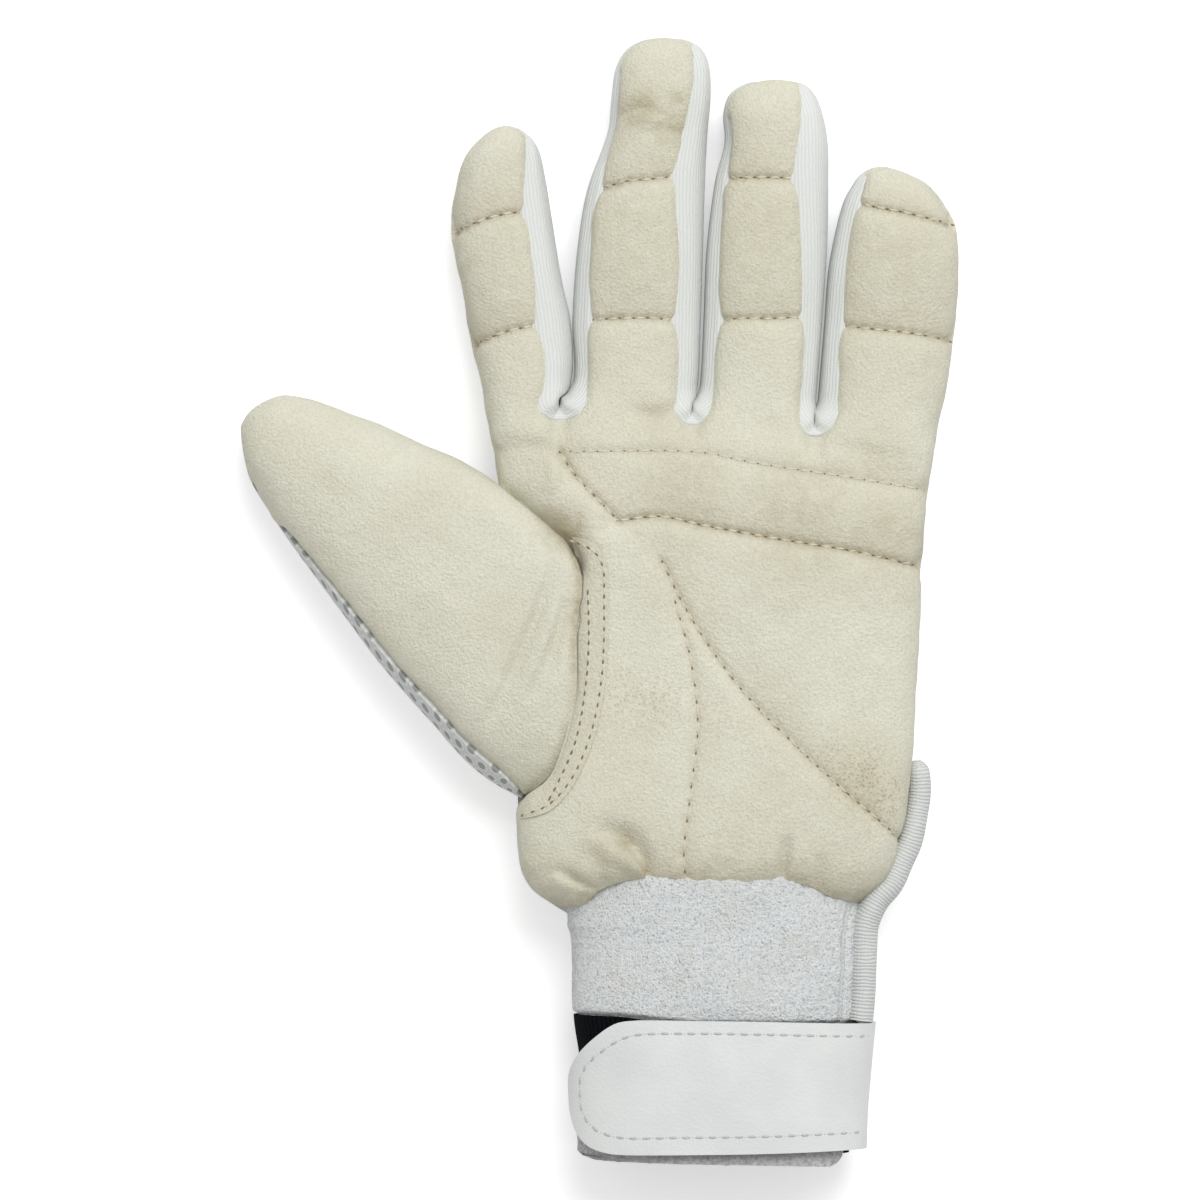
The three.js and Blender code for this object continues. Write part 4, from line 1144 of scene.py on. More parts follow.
@dataclass(frozen=True)
class Chamois:
    """Napped chamois leather: cream, cloudy, with fine fluff, grey-brown soil mixed with painted shade in
    seams and folds, and stains mixed with painted shade along the heel's lower edge.
    """

    tone: Tone = (232, 230, 212)
    shade: Tone = (226, 223, 203)
    fleck: Tone = (188, 184, 167)
    light: Tone = (244, 241, 225)
    # colour of soil, also used for painted shade in seams and folds
    soil: Tone = (156, 132, 88)
    # colour of stains, also used for painted shade along the heel's lower edge
    stain: Tone = (176, 164, 126)
    pit: Tone = (172, 150, 108)

    def build(self) -> Material:
        """Builds the finish.

        Returns:
            The material.
        """
        material, graph, shader = new_finish("chamois")
        fluff = graph.noise(0.6, 4.0, 0.65)
        grain = graph.noise(0.25)
        cells = graph.cells(0.85)
        base = graph.mix(graph.spread(graph.noise(24.0), 0.35, 0.68), colour(self.tone), colour(self.shade))
        base = graph.mix(graph.spread(fluff, 0.38, 0.56, 0.26, 0.0), base, colour(self.fleck))
        base = graph.mix(graph.spread(fluff, 0.52, 0.70, 0.0, 0.2), base, colour(self.light))
        pits = graph.math("MULTIPLY", graph.spread(cells, 0.15, 0.5, 1.0, 0.0), graph.mask(PORES))
        # Soil and stain masks; both also carry painted shade, in seams and folds and along the heel's lower
        # edge
        marks = (
            (SOIL_AND_SHADE, graph.spread(graph.noise(2.2), 0.3, 0.7, 0.35, 1.0), self.soil),
            (STAIN_AND_SHADE, graph.spread(graph.noise(3.2, 4.0, 0.7), 0.32, 0.7, 0.3, 1.0), self.stain),
        )
        for name, patchy, tone in marks:
            base = graph.mix(graph.math("MULTIPLY", graph.mask(name), patchy), base, colour(tone))
        base = graph.mix(graph.math("MULTIPLY", pits, 0.75), base, colour(self.pit))
        relief = graph.math("MULTIPLY_ADD", grain, 0.7, fluff)
        relief = graph.math("MULTIPLY_ADD", graph.spread(cells, 0.1, 0.75, 1.0, 0.0), 0.35, relief)
        relief = graph.math("MULTIPLY_ADD", pits, -0.6, relief)
        graph.set(shader, {
            "Base Color": base,
            "Roughness": 0.95,
            "Specular IOR Level": 0.15,
            "Sheen Weight": 0.12,
            "Sheen Roughness": 0.5,
            "Normal": graph.bump(relief, 0.8, 0.65),
        })
        return material


@dataclass(frozen=True)
class Knit:
    """Fine ribbed knit; sizes in millimetres."""

    name: str
    tone: Tone
    shade: Tone
    pitch: float = 0.9
    stitch: float = 0.6
    depth: float = 0.3
    turned: bool = False
    gloss: float = 0.2

    def build(self, ribs: Tree) -> Material:
        """Builds the finish.

        Args:
            ribs: shared group of knit ribs.

        Returns:
            The material.
        """
        material, graph, shader = new_finish(self.name)
        place = graph.node("UVMap").outputs[0]
        if self.turned:
            place = graph.node("VectorRotate", {"Vector": place, "Angle": math.pi / 2}).outputs[0]
        rib = graph.use(ribs, {"Place": place, "Pitch": self.pitch, "Stitch": self.stitch})
        lint = graph.noise(0.8, 4.0, 0.7)
        base = graph.mix(graph.spread(rib, 0.1, 0.9), colour(self.shade), colour(self.tone))
        base = graph.mix(graph.spread(lint, 0.42, 0.62, 0.25, 0.0), base, colour(self.shade))
        graph.set(shader, {
            "Base Color": base,
            "Roughness": 0.85,
            "Specular IOR Level": self.gloss,
            "Sheen Weight": self.gloss / 2,
            "Normal": graph.bump(graph.math("MULTIPLY_ADD", lint, 0.5, rib), self.depth),
        })
        return material


@dataclass(frozen=True)
class SpacerMesh:
    """White spacer mesh with rows of round holes, drawn in colour only: painted shade inside each hole and a
    painted highlight round its rim.
    """

    tone: Tone = (207, 209, 207)
    # painted shade inside the holes
    hole: Tone = (146, 148, 146)
    # painted highlight round each hole
    rim: Tone = (238, 240, 238)
    fleck: Tone = (196, 198, 196)

    def build(self, holes: Tree) -> Material:
        """Builds the finish.

        Args:
            holes: shared group of mesh holes.

        Returns:
            The material.
        """
        material, graph, shader = new_finish("spacer_mesh")
        gap = graph.use(holes, {"Place": graph.node("UVMap").outputs[0], "Pitch": HOLE_PITCH})
        inside = graph.spread(gap, HOLE_RADIUS * 0.7, HOLE_RADIUS * 1.15, 1.0, 0.0)
        ring = graph.spread(gap, HOLE_RADIUS * 1.7, HOLE_RADIUS * 1.2, 0.0, 0.7)
        rim = graph.math("MULTIPLY", ring, graph.math("SUBTRACT", 1.0, inside))
        yarn = graph.noise(0.5)
        # painted shade in the holes, then a painted highlight on their rims
        base = graph.mix(inside, colour(self.tone), colour(self.hole))
        base = graph.mix(rim, base, colour(self.rim))
        base = graph.mix(graph.spread(yarn, 0.4, 0.62, 0.3, 0.0), base, colour(self.fleck))
        relief = graph.math("SUBTRACT", graph.math("MULTIPLY", yarn, 0.4), inside)
        graph.set(shader, {"Base Color": base, "Roughness": 0.8, "Normal": graph.bump(relief, 0.5)})
        return material


@dataclass(frozen=True)
class Terry:
    """White towelling; its larger loops are modelled, with painted shade between them, and fine yarn lies
    over them.
    """

    tone: Tone = (240, 243, 243)
    shade: Tone = (172, 176, 177)
    # painted shade between the loops
    gap: Tone = (186, 190, 191)
    worn: Tone = (226, 219, 202)

    def build(self) -> Material:
        """Builds the finish.

        Returns:
            The material.
        """
        material, graph, shader = new_finish("towelling")
        yarn = graph.noise(0.55, 3.0, 0.7)
        base = graph.mix(graph.spread(yarn, 0.31, 0.47), colour(self.shade), colour(self.tone))
        # painted shade where the modelled loops are low, between them
        base = graph.mix(graph.spread(graph.mask(LOOPS), 0.0, 0.7, 0.25, 0.0), base, colour(self.gap))
        patches = graph.spread(graph.noise(9.0, 4.0, 0.7), 0.5, 0.75, 0.0, 0.35)
        base = graph.mix(patches, base, colour(self.worn))
        graph.set(shader, {
            "Base Color": base,
            "Roughness": 0.95,
            "Specular IOR Level": 0.1,
            "Sheen Weight": 0.1,
            "Normal": graph.bump(yarn, 1.35),
        })
        return material


@dataclass(frozen=True)
class Flecked:
    """Fastener tape, sewing thread or the painted shade of a needle hole: two tones in fine flecks, in
    millimetres.
    """

    name: str
    tone: Tone
    shade: Tone
    size: float = 0.5
    depth: float = 0.1

    def build(self) -> Material:
        """Builds the finish.

        Returns:
            The material.
        """
        material, graph, shader = new_finish(self.name)
        flecks = graph.noise(self.size, 4.0, 0.7)
        base = graph.mix(graph.spread(flecks, 0.35, 0.63), colour(self.shade), colour(self.tone))
        graph.set(shader, {"Base Color": base, "Roughness": 0.9, "Normal": graph.bump(flecks, self.depth)})
        return material


@dataclass(frozen=True)
class CoatedStrap:
    """Smooth white coated strap with a faint grain."""

    tone: Tone = (222, 224, 222)
    shade: Tone = (213, 215, 215)

    def build(self) -> Material:
        """Builds the finish.

        Returns:
            The material.
        """
        material, graph, shader = new_finish("strap")
        cloud = graph.noise(22.0)
        base = graph.mix(graph.spread(cloud, 0.36, 0.66), colour(self.tone), colour(self.shade))
        graph.set(shader, {
            "Base Color": base,
            "Roughness": graph.spread(cloud, 0.3, 0.7, 0.38, 0.5),
            "Specular IOR Level": 0.4,
            "Normal": graph.bump(graph.cells(0.7), 0.2, 0.3),
        })
        return material


class Finishes:
    """All finishes of the glove, each built once."""

    def __init__(self) -> None:
        """Builds the materials."""
        ribs = rib_group()
        self.chamois = Chamois().build()
        self.side_knit = Knit("side_knit", (220, 222, 219), (210, 212, 209), depth=0.11).build(ribs)
        self.spacer_mesh = SpacerMesh().build(hole_group())
        self.towelling = Terry().build()
        self.band_knit = Knit("band_knit", (20, 21, 25), (7, 8, 11), pitch=1.2, gloss=0.02).build(ribs)
        rib_sizes = {"pitch": 0.8, "stitch": 0.9, "depth": 0.2}
        self.binding_rib = Knit(
            "binding_rib", (214, 216, 214), (197, 199, 197), turned=True, **rib_sizes
        ).build(ribs)
        self.loop = Flecked("loop", (196, 197, 196), (150, 151, 150), 1.0, 0.5).build()
        self.hook = Flecked("hook", (186, 187, 186), (150, 151, 150), 0.6, 0.5).build()
        self.strap = CoatedStrap().build()
        self.thread = Flecked("thread", (220, 215, 196), (198, 191, 168)).build()
        self.white_thread = Flecked("white_thread", (200, 202, 202), (178, 180, 180)).build()
        # Dark needle holes are painted shade; the grey ones beside white thread are painted shadow
        self.needle_hole = Flecked("needle_hole", (142, 128, 100), (108, 95, 72)).build()
        self.white_hole = Flecked("white_hole", (204, 206, 205), (190, 192, 191)).build()


def dress(piece: Piece, finish: Material, slot: str, *nodes: str) -> None:
    """Gives a piece its finish and hides the nodes of the model that it replaces.

    Args:
        piece: the finished mesh.
        finish: its material.
        slot: not used.
        nodes: the nodes of the model that it replaces.
    """
    piece.data.materials.clear()
    piece.data.materials.append(finish)
    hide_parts(*nodes)
    LOG.info("%s: %d faces", piece.name, len(piece.data.polygons))


@dataclass(frozen=True)
class Fold:
    """Place where the glove bends, between two bodies of the model.

    It keeps its two bodies and the start and end of the bend, but no piece is weighted to them.
    """

    first: str
    second: str
    start: tuple[float, float, float]
    end: tuple[float, float, float]

    def bend(self, piece: Piece) -> None:
        """Bakes a piece's placement into its mesh; it adds no bending."""
        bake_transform(piece)


BEND_REACH = 7.0  # a finger bends over this length each side of its seam
BEND_LEVEL = 18.0
KNUCKLE_FOLD = Fold("palm", "knuckles", (24.5, 21.0, 20.0), (26.0, 37.5, 20.0))
THUMB_BEND = Fold("palm", "thumb", (-9.5, -16.0, 20.0), (-26.0, -14.6, 20.0))
STRAP_FOLD = Fold("palm", "strap", (63.0, -111.0, 15.0), (57.0, -111.0, 27.0))


COARSE = 1.25  # pitch of a padded cover before it is subdivided
BACK_PITCH = 2.4
BACK_WRAP = 4  # columns down each outer side of the back
WELT_LEVEL = 24.0  # height of the welt where no palm lies below it
WRAP_COLUMNS = 13
BRIDGE_COLUMNS = 2  # between the covers of two fingers, below the web
TURN_SPOT = 0.8  # columns of the hand beyond this turn down its side
TIP_STOP = 0.004  # a cover stops this far before the last rung
WRIST_RUNG = 8.0  # rung of the hand where the heel meets the cuff
THUMB_SEAM_LENGTH = 62.0
PALM_NODES = (
    "palm_leather", "palm_bar_foam", "outer_heel_foam", "middle_heel_foam", "thumb_heel_foam",
    "knuckle_leather", "knuckle_foam",
)
THUMB_NODES = ("thumb_leather", "thumb_foam")
ZONE_PALM, ZONE_BASE, ZONE_END, ZONE_THUMB = 0, 1, 5, 9


class FingerPart:
    """Base or end of a finger: the rungs it spans, its zone in the cover and the seam it bends at."""

    def __init__(self, number: int, end: bool) -> None:
        """Works out the part.

        Args:
            number: place of the finger from the index on.
            end: it is the finger's end, beyond the tip seam.
        """
        finger = self.finger = FINGERS[number]
        self.number = number
        self.name = f"{finger.name}_{'end' if end else 'base'}"
        self.link = f"{finger.name}_{'tip' if end else 'middle'}"
        self.zone = number + (ZONE_END if end else ZONE_BASE)
        self.span = (END_SPLIT, finger.ladder.last - TIP_STOP) if end else (BASE_SPLIT, END_SPLIT)
        self.seam = Seam(self.name, finger.tip_seam if end else finger.middle_seam)
        rung = float(TIP_SEAM if end else MIDDLE_SEAM)
        centre = finger.ladder.centre(np.array(rung))
        step = finger.way(rung) * BEND_REACH
        before = f"{finger.name}_middle" if end else "knuckles"
        self.fold = Fold(before, self.link, (*(centre - step), BEND_LEVEL), (*(centre + step), BEND_LEVEL))


PARTS = tuple(FingerPart(number, end) for number in range(len(FINGERS)) for end in (False, True))


@dataclass(frozen=True)
class HandSkin:
    """Sheet over the whole hand and its fingers: the padded palm side or, flipped, the back."""

    pitch: float
    wrap: int
    flip: bool = False
    back_foot: float = -73.0  # the back ends here, under the cuff
    hand_length: float = 100.0
    root_length: float = 8.0  # of each half of a finger's root
    seam_gap: float = 0.3  # the palm ends this far beside the seam of the thumb
    crotch_fade: float = 10.0  # height over which its edge passes from that seam to the hand's side
    foot_fade: float = 4.0  # and the same at the seam's lower end
    foot_lead: float = 1.0

    def shares(self) -> list[Array]:
        """Returns for each finger the shares across its cover."""
        counts = [round(float(finger.ladder.width(np.array(BASE_SPLIT))) / self.pitch) for finger in FINGERS]
        return [np.linspace(0.0, 1.0, count + 1) for count in counts]

    def root_rows(self) -> Array:
        """Returns the rung positions from the knuckle seam to where a finger's own cover starts."""
        return np.linspace(0.0, BASE_SPLIT, 2 * round(self.root_length / self.pitch) + 1)

    def palm_points(self) -> Array:
        """Lays out the hand and the foot of the fingers.

        Returns:
            Places, (rows, columns, 3), rows from heel to fingers.
        """
        t = self.root_rows()
        steps = np.linspace(0.0, 1.0, BRIDGE_COLUMNS + 2)[1:-1]
        root = None
        for finger, across in zip(FINGERS, self.shares()):
            part = finger.cover_points(t, across, self.wrap, self.flip)
            if root is None:
                root = part
                continue
            bridge = [root[:, -1:] * (1 - step) + part[:, :1] * step for step in steps]
            root = np.concatenate([root, *bridge, part], axis=1)
        spots = self.spots(root[0])
        level = HAND.point(0 * spots, self.hand_angle(0 * spots, spots))[:, 2]
        share = smooth(t)[:, None]
        root[..., 2] = level[None, :] * (1 - share) + root[..., 2] * share
        return np.concatenate([self.hand_points(spots), root[1:]], axis=0)

    def spots(self, row: Array) -> Array:
        """Finds the columns of the hand that meet the fingers.

        Args:
            row: finger points at the knuckle seam.

        Returns:
            Columns, -1 left and 1 right.
        """
        left, right = HAND.left.points[0], HAND.right.points[0]
        way = right - left
        shares = 2.0 * ((row[:, :2] - left) @ way) / (way @ way) - 1.0
        spots = shares / SIDE_SHARE * TURN_SPOT
        first, last = np.flatnonzero(np.abs(shares) <= SIDE_SHARE)[[0, -1]]
        spots[: first + 1] = np.linspace(-1.0, spots[first], first + 1)
        spots[last:] = np.linspace(spots[last], 1.0, len(spots) - last)
        return spots

    def hand_angle(self, t: Array, spots: Array) -> Array:
        """Finds angles round the hand.

        Args:
            t: rung positions.
            spots: columns; the outer ones turn down its side.

        Returns:
            Angles in degrees.
        """
        size = np.abs(spots)
        crown = HAND.angle(t, np.minimum(size / TURN_SPOT, 1.0) * SIDE_SHARE) * (-1.0 if self.flip else 1.0)
        down = np.maximum((size - TURN_SPOT) / (1.0 - TURN_SPOT), 0.0)
        angle = crown + (BACK_RIGHT / 2 - crown) * down
        return np.where(spots < 0, 180.0 - angle, angle)

    def hand_points(self, spots: Array) -> Array:
        """Lays out the hand.

        Args:
            spots: its columns at the knuckle seam.

        Returns:
            Places, (rows, columns, 3), rows from its heel to that seam.
        """
        shares = np.linspace(1.0, 0.0, int(self.hand_length / self.pitch) + 1)
        wrist = np.full(spots.shape, WRIST_RUNG)
        edge = HAND.point(wrist, self.hand_angle(wrist, spots))[:, 0]
        foot = np.full(spots.shape, self.back_foot) if self.flip else heel_edge(edge)
        t = shares[:, None] * HAND.at_y(foot)[None, :]
        limit = np.full(t.shape, -1.0) if self.flip else self.left_limit(HAND.centre(t)[..., 1])
        columns = limit + (spots[None, :] + 1.0) / 2.0 * (1.0 - limit)
        return HAND.point(t, self.hand_angle(t, columns))

    def left_limit(self, y: Array) -> Array:
        """Finds the left edge of the palm: its side, or the seam of the thumb.

        Args:
            y: heights on the palm.

        Returns:
            The leftmost column at each.
        """
        foot, crotch = THUMB_FOLD.points[[0, -1], 1]
        t = HAND.at_y(y)
        share = (thumb_seam(y) + self.seam_gap - HAND.centre(t)[..., 0]) / (HAND.width(t) / 2)
        spot = np.clip(share / SIDE_SHARE * TURN_SPOT, -1.0, 1.0)
        upper = smooth((y - crotch) / self.crotch_fade + 0.5)
        lower = smooth((foot + self.foot_lead - y) / self.foot_fade)
        away = np.maximum(upper, lower)
        return spot * (1 - away) - away

    def palm_sheet(self, name: str) -> Piece:
        """Builds the sheet of the hand, with slits between the fingers above their webs.

        Args:
            name: name of the sheet.

        Returns:
            The sheet.
        """
        points = self.palm_points()
        piece = grid_sheet(name, points[:, ::-1] if self.flip else points)
        columns = points.shape[1] - 1
        row, column = np.divmod(np.arange(len(piece.data.polygons)), columns)
        if self.flip:
            column = columns - 1 - column
        rows = len(self.root_rows()) - 1
        slit = row - (points.shape[0] - 1 - rows) >= rows * WEB / BASE_SPLIT
        gone = np.zeros(len(row), bool)
        edge = self.wrap - 1
        for across in self.shares()[:-1]:
            edge += len(across)
            gone |= slit & (column >= edge) & (column <= edge + BRIDGE_COLUMNS)
            edge += BRIDGE_COLUMNS
        with editing(piece, gone):
            bpy.ops.mesh.delete(type="FACE")
        return piece

    def finger_points(self, part: FingerPart) -> Array:
        """Returns the points of one part of a finger, rows towards its tip."""
        t = part.finger.ladder.rows(*part.span, self.pitch)
        return part.finger.cover_points(t, self.shares()[part.number], self.wrap, self.flip)

    def finger_sheet(self, name: str, part: FingerPart) -> Piece:
        """Returns the sheet of one part of a finger."""
        points = self.finger_points(part)
        return grid_sheet(name, points[:, ::-1] if self.flip else points)


@dataclass(frozen=True)
class Spot:
    """Soft round patch on the palm side."""

    centre: tuple[float, float]
    size: float
    strength: float


STAIN_SPOTS = (
    Spot((-8.0, 17.0), 5.0, 0.7),  # above the crotch of the thumb
    Spot((-12.0, 31.0), 5.0, 0.3),
    Spot((20.0, 23.0), 13.0, 0.42),  # bar under the fingers
    Spot((45.0, 18.0), 16.0, 0.46),
    Spot((65.0, 14.0), 12.0, 0.46),
    Spot((9.0, 112.5), 5.0, 0.9),  # tip of the middle finger
    Spot((16.5, 108.0), 5.0, 0.8),
    Spot((17.0, 115.0), 2.5, 0.7),
    Spot((12.5, 42.6), 4.5, 0.4),
    Spot((2.0, -58.0), 7.0, 0.5),  # heel
    Spot((-14.0, -62.0), 6.0, 0.35),
    Spot((43.0, -60.0), 4.0, 0.35),
    Spot((59.0, -42.0), 9.0, 0.45),
    Spot((70.0, 60.0), 10.0, 0.25),  # outer side
    Spot((62.0, 33.0), 9.0, 0.3),
    Spot((-22.0, 80.0), 26.0, 0.24),  # fingers
    Spot((9.0, 85.0), 30.0, 0.26),
    Spot((38.0, 85.0), 28.0, 0.28),
    Spot((67.0, 72.0), 26.0, 0.3),
)
SOIL_AND_SHADE_SPOTS = (
    Spot((-7.2, 14.6), 2.6, 0.95),  # crotch of the thumb
    Spot((-9.6, 17.0), 2.4, 0.75),
    Spot((-12.4, 19.6), 2.2, 0.45),
    Spot((-5.4, 16.6), 1.7, 0.5),
    Spot((-3.6, 13.4), 1.8, 0.5),
    Spot((-0.6, 11.4), 1.6, 0.3),
    # painted shade in the folds of the heel
    Spot((9.4, -62.4), 1.8, 0.65),  # folds of the heel
    Spot((5.6, -55.6), 1.8, 0.5),
    Spot((42.4, -61.0), 1.2, 0.3),
)
PORE_SPOTS = (
    Spot((4.0, -21.0), 9.0, 0.55),
    Spot((13.0, -24.0), 8.0, 0.55),
    Spot((24.0, -26.0), 7.0, 0.4),
    Spot((53.0, -36.0), 6.0, 0.6),
    Spot((60.0, -41.0), 8.0, 0.85),
    Spot((66.0, -46.0), 7.0, 0.8),
    Spot((69.0, 2.0), 8.0, 0.35),
)


def spotted(points: Array, spots: Sequence[Spot]) -> Array:
    """Marks points with soft patches.

    Args:
        points: places in millimetres, (n, 3).
        spots: the patches.

    Returns:
        How strongly each point is marked, 0 to 1.
    """
    total = np.zeros(len(points))
    for spot in spots:
        gap = np.hypot(points[:, 0] - spot.centre[0], points[:, 1] - spot.centre[1])
        total = np.maximum(total, spot.strength * np.exp(-((gap / spot.size) ** 2)))
    return total


@dataclass
class PaddedCover:
    """Padded chamois over the palm, the palm side of the fingers and the thumb."""

    finishes: Finishes
    skin: HandSkin = HandSkin(COARSE, WRAP_COLUMNS)
    seam_depth: float = 1.1  # wide dip towards a sewn line
    seam_width: float = 4.0
    seam_sides: tuple[float, float] = (1.5, 0.7)  # its width left and right of the line's run, in seam widths
    seam_level: float = 12.0  # skin below this is out of sight and isn't drawn in
    stitch_depth: float = 0.65  # narrow cut of the thread itself
    stitch_width: float = 0.9
    stitch_pucker: float = 0.3  # share by which the cut deepens at each stitch
    stitch_soil: float = 0.34
    # soil with painted shade on the side of each seam to the left of its run
    seam_soil_and_shade: float = 0.26  # to the left of the line's run
    seam_soil_and_shade_reach: float = 3.2
    crease_level: float = 10.0
    edge_depth: float = 1.0  # the cover's edge is drawn into its seam with the knit
    edge_width: float = 1.5
    edge_level: float = 15.0  # edges below this are out of sight and stay as they are
    ripples: tuple[Wave, ...] = ((0.2, 16.0, 3), (0.12, 5.0, 4))
    thumb_soil: tuple[float, float] = (0.2, 0.7)  # along the seam of the thumb, at its foot and at its crotch
    thumb_soil_run: Span = (20.0, 50.0)
    thumb_soil_width: float = 1.3
    # stain with painted shade, darker towards the heel's lower edge where it rolls under
    hem_stain_and_shade: float = 0.65  # along the heel's lower edge
    hem_stain_and_shade_reach: float = 7.0
    hem_wave: float = 0.35  # the heel's lower edge is gathered in small waves
    hem_pitch: float = 5.3
    hem_reach: float = 6.0
    heel_roll: float = 7.0  # the heel rolls under over this length
    dip_levels: Span = (18.0, 26.0)  # heights over which the palm starts to dip and wave
    dip_floor: float = 6.0  # and no dip goes below this
    thumb_dip: float = 1.3  # the palm dips towards the seam of the thumb
    thumb_dip_reach: float = 4.0
    thumb_dip_foot: Span = (-50.0, -44.0)
    thumb_dip_head: Span = (16.0, 10.0)
    crotch_width: float = 2.4
    crotch_dip: float = 4.6  # the palm dips under the upper edge of the thumb
    crotch_run: Span = (-1.0, 9.0)  # along that edge
    crotch_right: Span = (-2.0, -5.0)
    crotch_foot: Span = (2.0, 7.0)
    puff_pressure: float = 3.0
    puff_frames: int = 16
    puff_limit: float = 0.8  # the skin swells no more than this
    puff_levels: Span = (12.0, 19.0)  # and only above these heights
    sewn_reach: float = 0.6  # vertices this near to a seam are held, in pitches
    gather_span: Span = (-46.0, -60.0)  # towards the cuff the skin is cut larger and gathers
    gather_slack: float = 0.03
    gather_limit: float = 1.5
    pieces: dict[str, Piece] = field(default_factory=dict)

    def thumb_points(self) -> Array:
        """Lays out the thumb's cover.

        Returns:
            Places, (rows, columns, 3), rows from its seam to its tip.
        """
        t = THUMB.rows(0.0, THUMB.last - TIP_STOP, COARSE)
        mesh = thumb_mesh_share(t)[:, None]
        shares = np.linspace(0.0, 1.0, int(THUMB_SEAM_LENGTH / COARSE) + 1)
        across = mesh + (SIDE_SHARE - mesh) * shares
        top = THUMB.angle(t[:, None] + 0 * across, across)
        turn = np.linspace(0.0, 1.0, WRAP_COLUMNS + 1)[1:]
        angles = np.concatenate([top, top[:, -1:] + (THUMB_WRAP - top[:, -1:]) * turn], axis=1)
        return bowed(t, THUMB.point(t[:, None], angles))

    def build(self) -> None:
        """Builds the whole cover as one skin, shapes it and parts it into its pieces."""
        whole = self.whole()
        self.puff(whole)
        subdivide(whole)
        self.shape(whole)
        self.part(whole)

    def whole(self) -> Piece:
        """Builds the whole cover as one sheet.

        Returns:
            The sheet, with its zones marked.
        """
        sheets = {ZONE_PALM: self.skin.palm_sheet("palm")}
        sheets |= {part.zone: self.skin.finger_sheet(part.name, part) for part in PARTS}
        sheets[ZONE_THUMB] = grid_sheet("thumb", self.thumb_points())
        for zone, sheet in sheets.items():
            set_zone(sheet, zone)
        return joined("cover", list(sheets.values()))

    def puff(self, whole: Piece) -> None:
        """Lets the skin swell and crease between its seams, no further than its limits.

        Args:
            whole: the skin.
        """
        before = places(whole)
        points, zones = in_hand(before), self.zones(whole)
        sewn = np.zeros(len(before))
        sewn[self.rim(whole)] = 1.0
        for seam, where in self.seams():
            gap, _, _ = nearest_on(Curve(seam.points).spaced(), points[:, :2])
            sewn[(gap < COARSE * self.sewn_reach) & np.isin(zones, where)] = 1.0
        gathered = np.where(zones == ZONE_PALM, rise(points[:, 1], *self.gather_span), 0.0)
        self.inflate(whole, sewn, gathered)
        move = places(whole) - before
        size = np.linalg.norm(move, axis=1)
        LOG.info("padding swells by %.2f mm on average, %.2f mm at most", size.mean() / MM, size.max() / MM)
        limit = self.puff_limit + (self.gather_limit - self.puff_limit) * gathered
        held = np.minimum(1.0, limit * MM / np.maximum(size, 1e-9)) * rise(points[:, 2], *self.puff_levels)
        move_to(whole, before + move * held[:, None])

    def inflate(self, whole: Piece, sewn: Array, gathered: Array) -> None:
        """Runs a short cloth simulation with pressure inside the skin and applies it.

        Args:
            whole: the skin.
            sewn: 1 for each vertex that is held in place.
            gathered: how much larger the skin is cut at each vertex, 0 to 1.
        """
        cloth = whole.modifiers.new("padding", "CLOTH")
        settings = cloth.settings
        settings.vertex_group_mass = weigh(whole, "sewn", sewn)
        settings.use_pressure = True
        settings.uniform_pressure_force = self.puff_pressure
        settings.effector_weights.gravity = 0.0
        settings.vertex_group_shrink = weigh(whole, "gathered", gathered)
        settings.shrink_min = 0.0
        settings.shrink_max = -self.gather_slack
        cloth.point_cache.frame_end = self.puff_frames
        for step in range(1, self.puff_frames + 1):
            bpy.context.scene.frame_set(step)
        select_only(whole)
        bpy.ops.object.modifier_apply(modifier=cloth.name)
        bpy.context.scene.frame_set(1)
        whole.vertex_groups.clear()

    def rim(self, whole: Piece) -> Array:
        """Returns the vertices on the edges of the cover."""
        uses = np.bincount(read(whole.data.loops, "edge_index"), minlength=len(whole.data.edges))
        return np.unique(read(whole.data.edges, "vertices", 2)[uses == 1])

    def zones(self, whole: Piece) -> Array:
        """Finds where each vertex belongs.

        Args:
            whole: the skin.

        Returns:
            The zone of each vertex.
        """
        faces = read(whole.data.attributes[ZONE].data, "value")
        corners = read(whole.data.loops, "vertex_index")
        zones = np.zeros(len(whole.data.vertices), np.int32)
        zones[corners] = np.repeat(faces, read(whole.data.polygons, "loop_total"))
        return zones

    def seams(self) -> list[tuple[Seam, list[int]]]:
        """Returns every sewn line with the zones it marks."""
        fingers = [(part.seam, [ZONE_BASE + part.number, ZONE_END + part.number]) for part in PARTS]
        return [(seam, [ZONE_PALM]) for seam in PALM_SEAMS] + fingers

    def shape(self, whole: Piece) -> None:
        """Draws the seams, edges and folds into the skin and marks its soil and stains, with painted shade in
        seams, in folds and along the heel's lower edge.

        Args:
            whole: the skin.
        """
        points, zones = in_hand(places(whole)), self.zones(whole)
        depth, soil = self.sewn(points, zones)
        depth += self.creased(points, zones)
        depth += self.edge_depth * np.exp(-((self.edge_gap(whole, points) / self.edge_width) ** 1.5))
        for wave in self.ripples:
            depth -= waves(points, wave)
        push(whole, -depth)
        self.settle(whole, zones)
        # Stain with painted shade, darker towards the heel's lower edge
        hem = np.maximum(points[:, 1] - heel_edge(points[:, 0]), 0.0)
        stain = self.hem_stain_and_shade * np.exp(-hem / self.hem_stain_and_shade_reach)
        mark(whole, SOIL_AND_SHADE, np.clip(np.maximum(soil, self.soiled_and_shaded(points, zones)), 0.0, 1.0))
        mark(whole, STAIN_AND_SHADE, np.maximum(spotted(points, STAIN_SPOTS), stain))
        mark(whole, PORES, spotted(points, PORE_SPOTS))

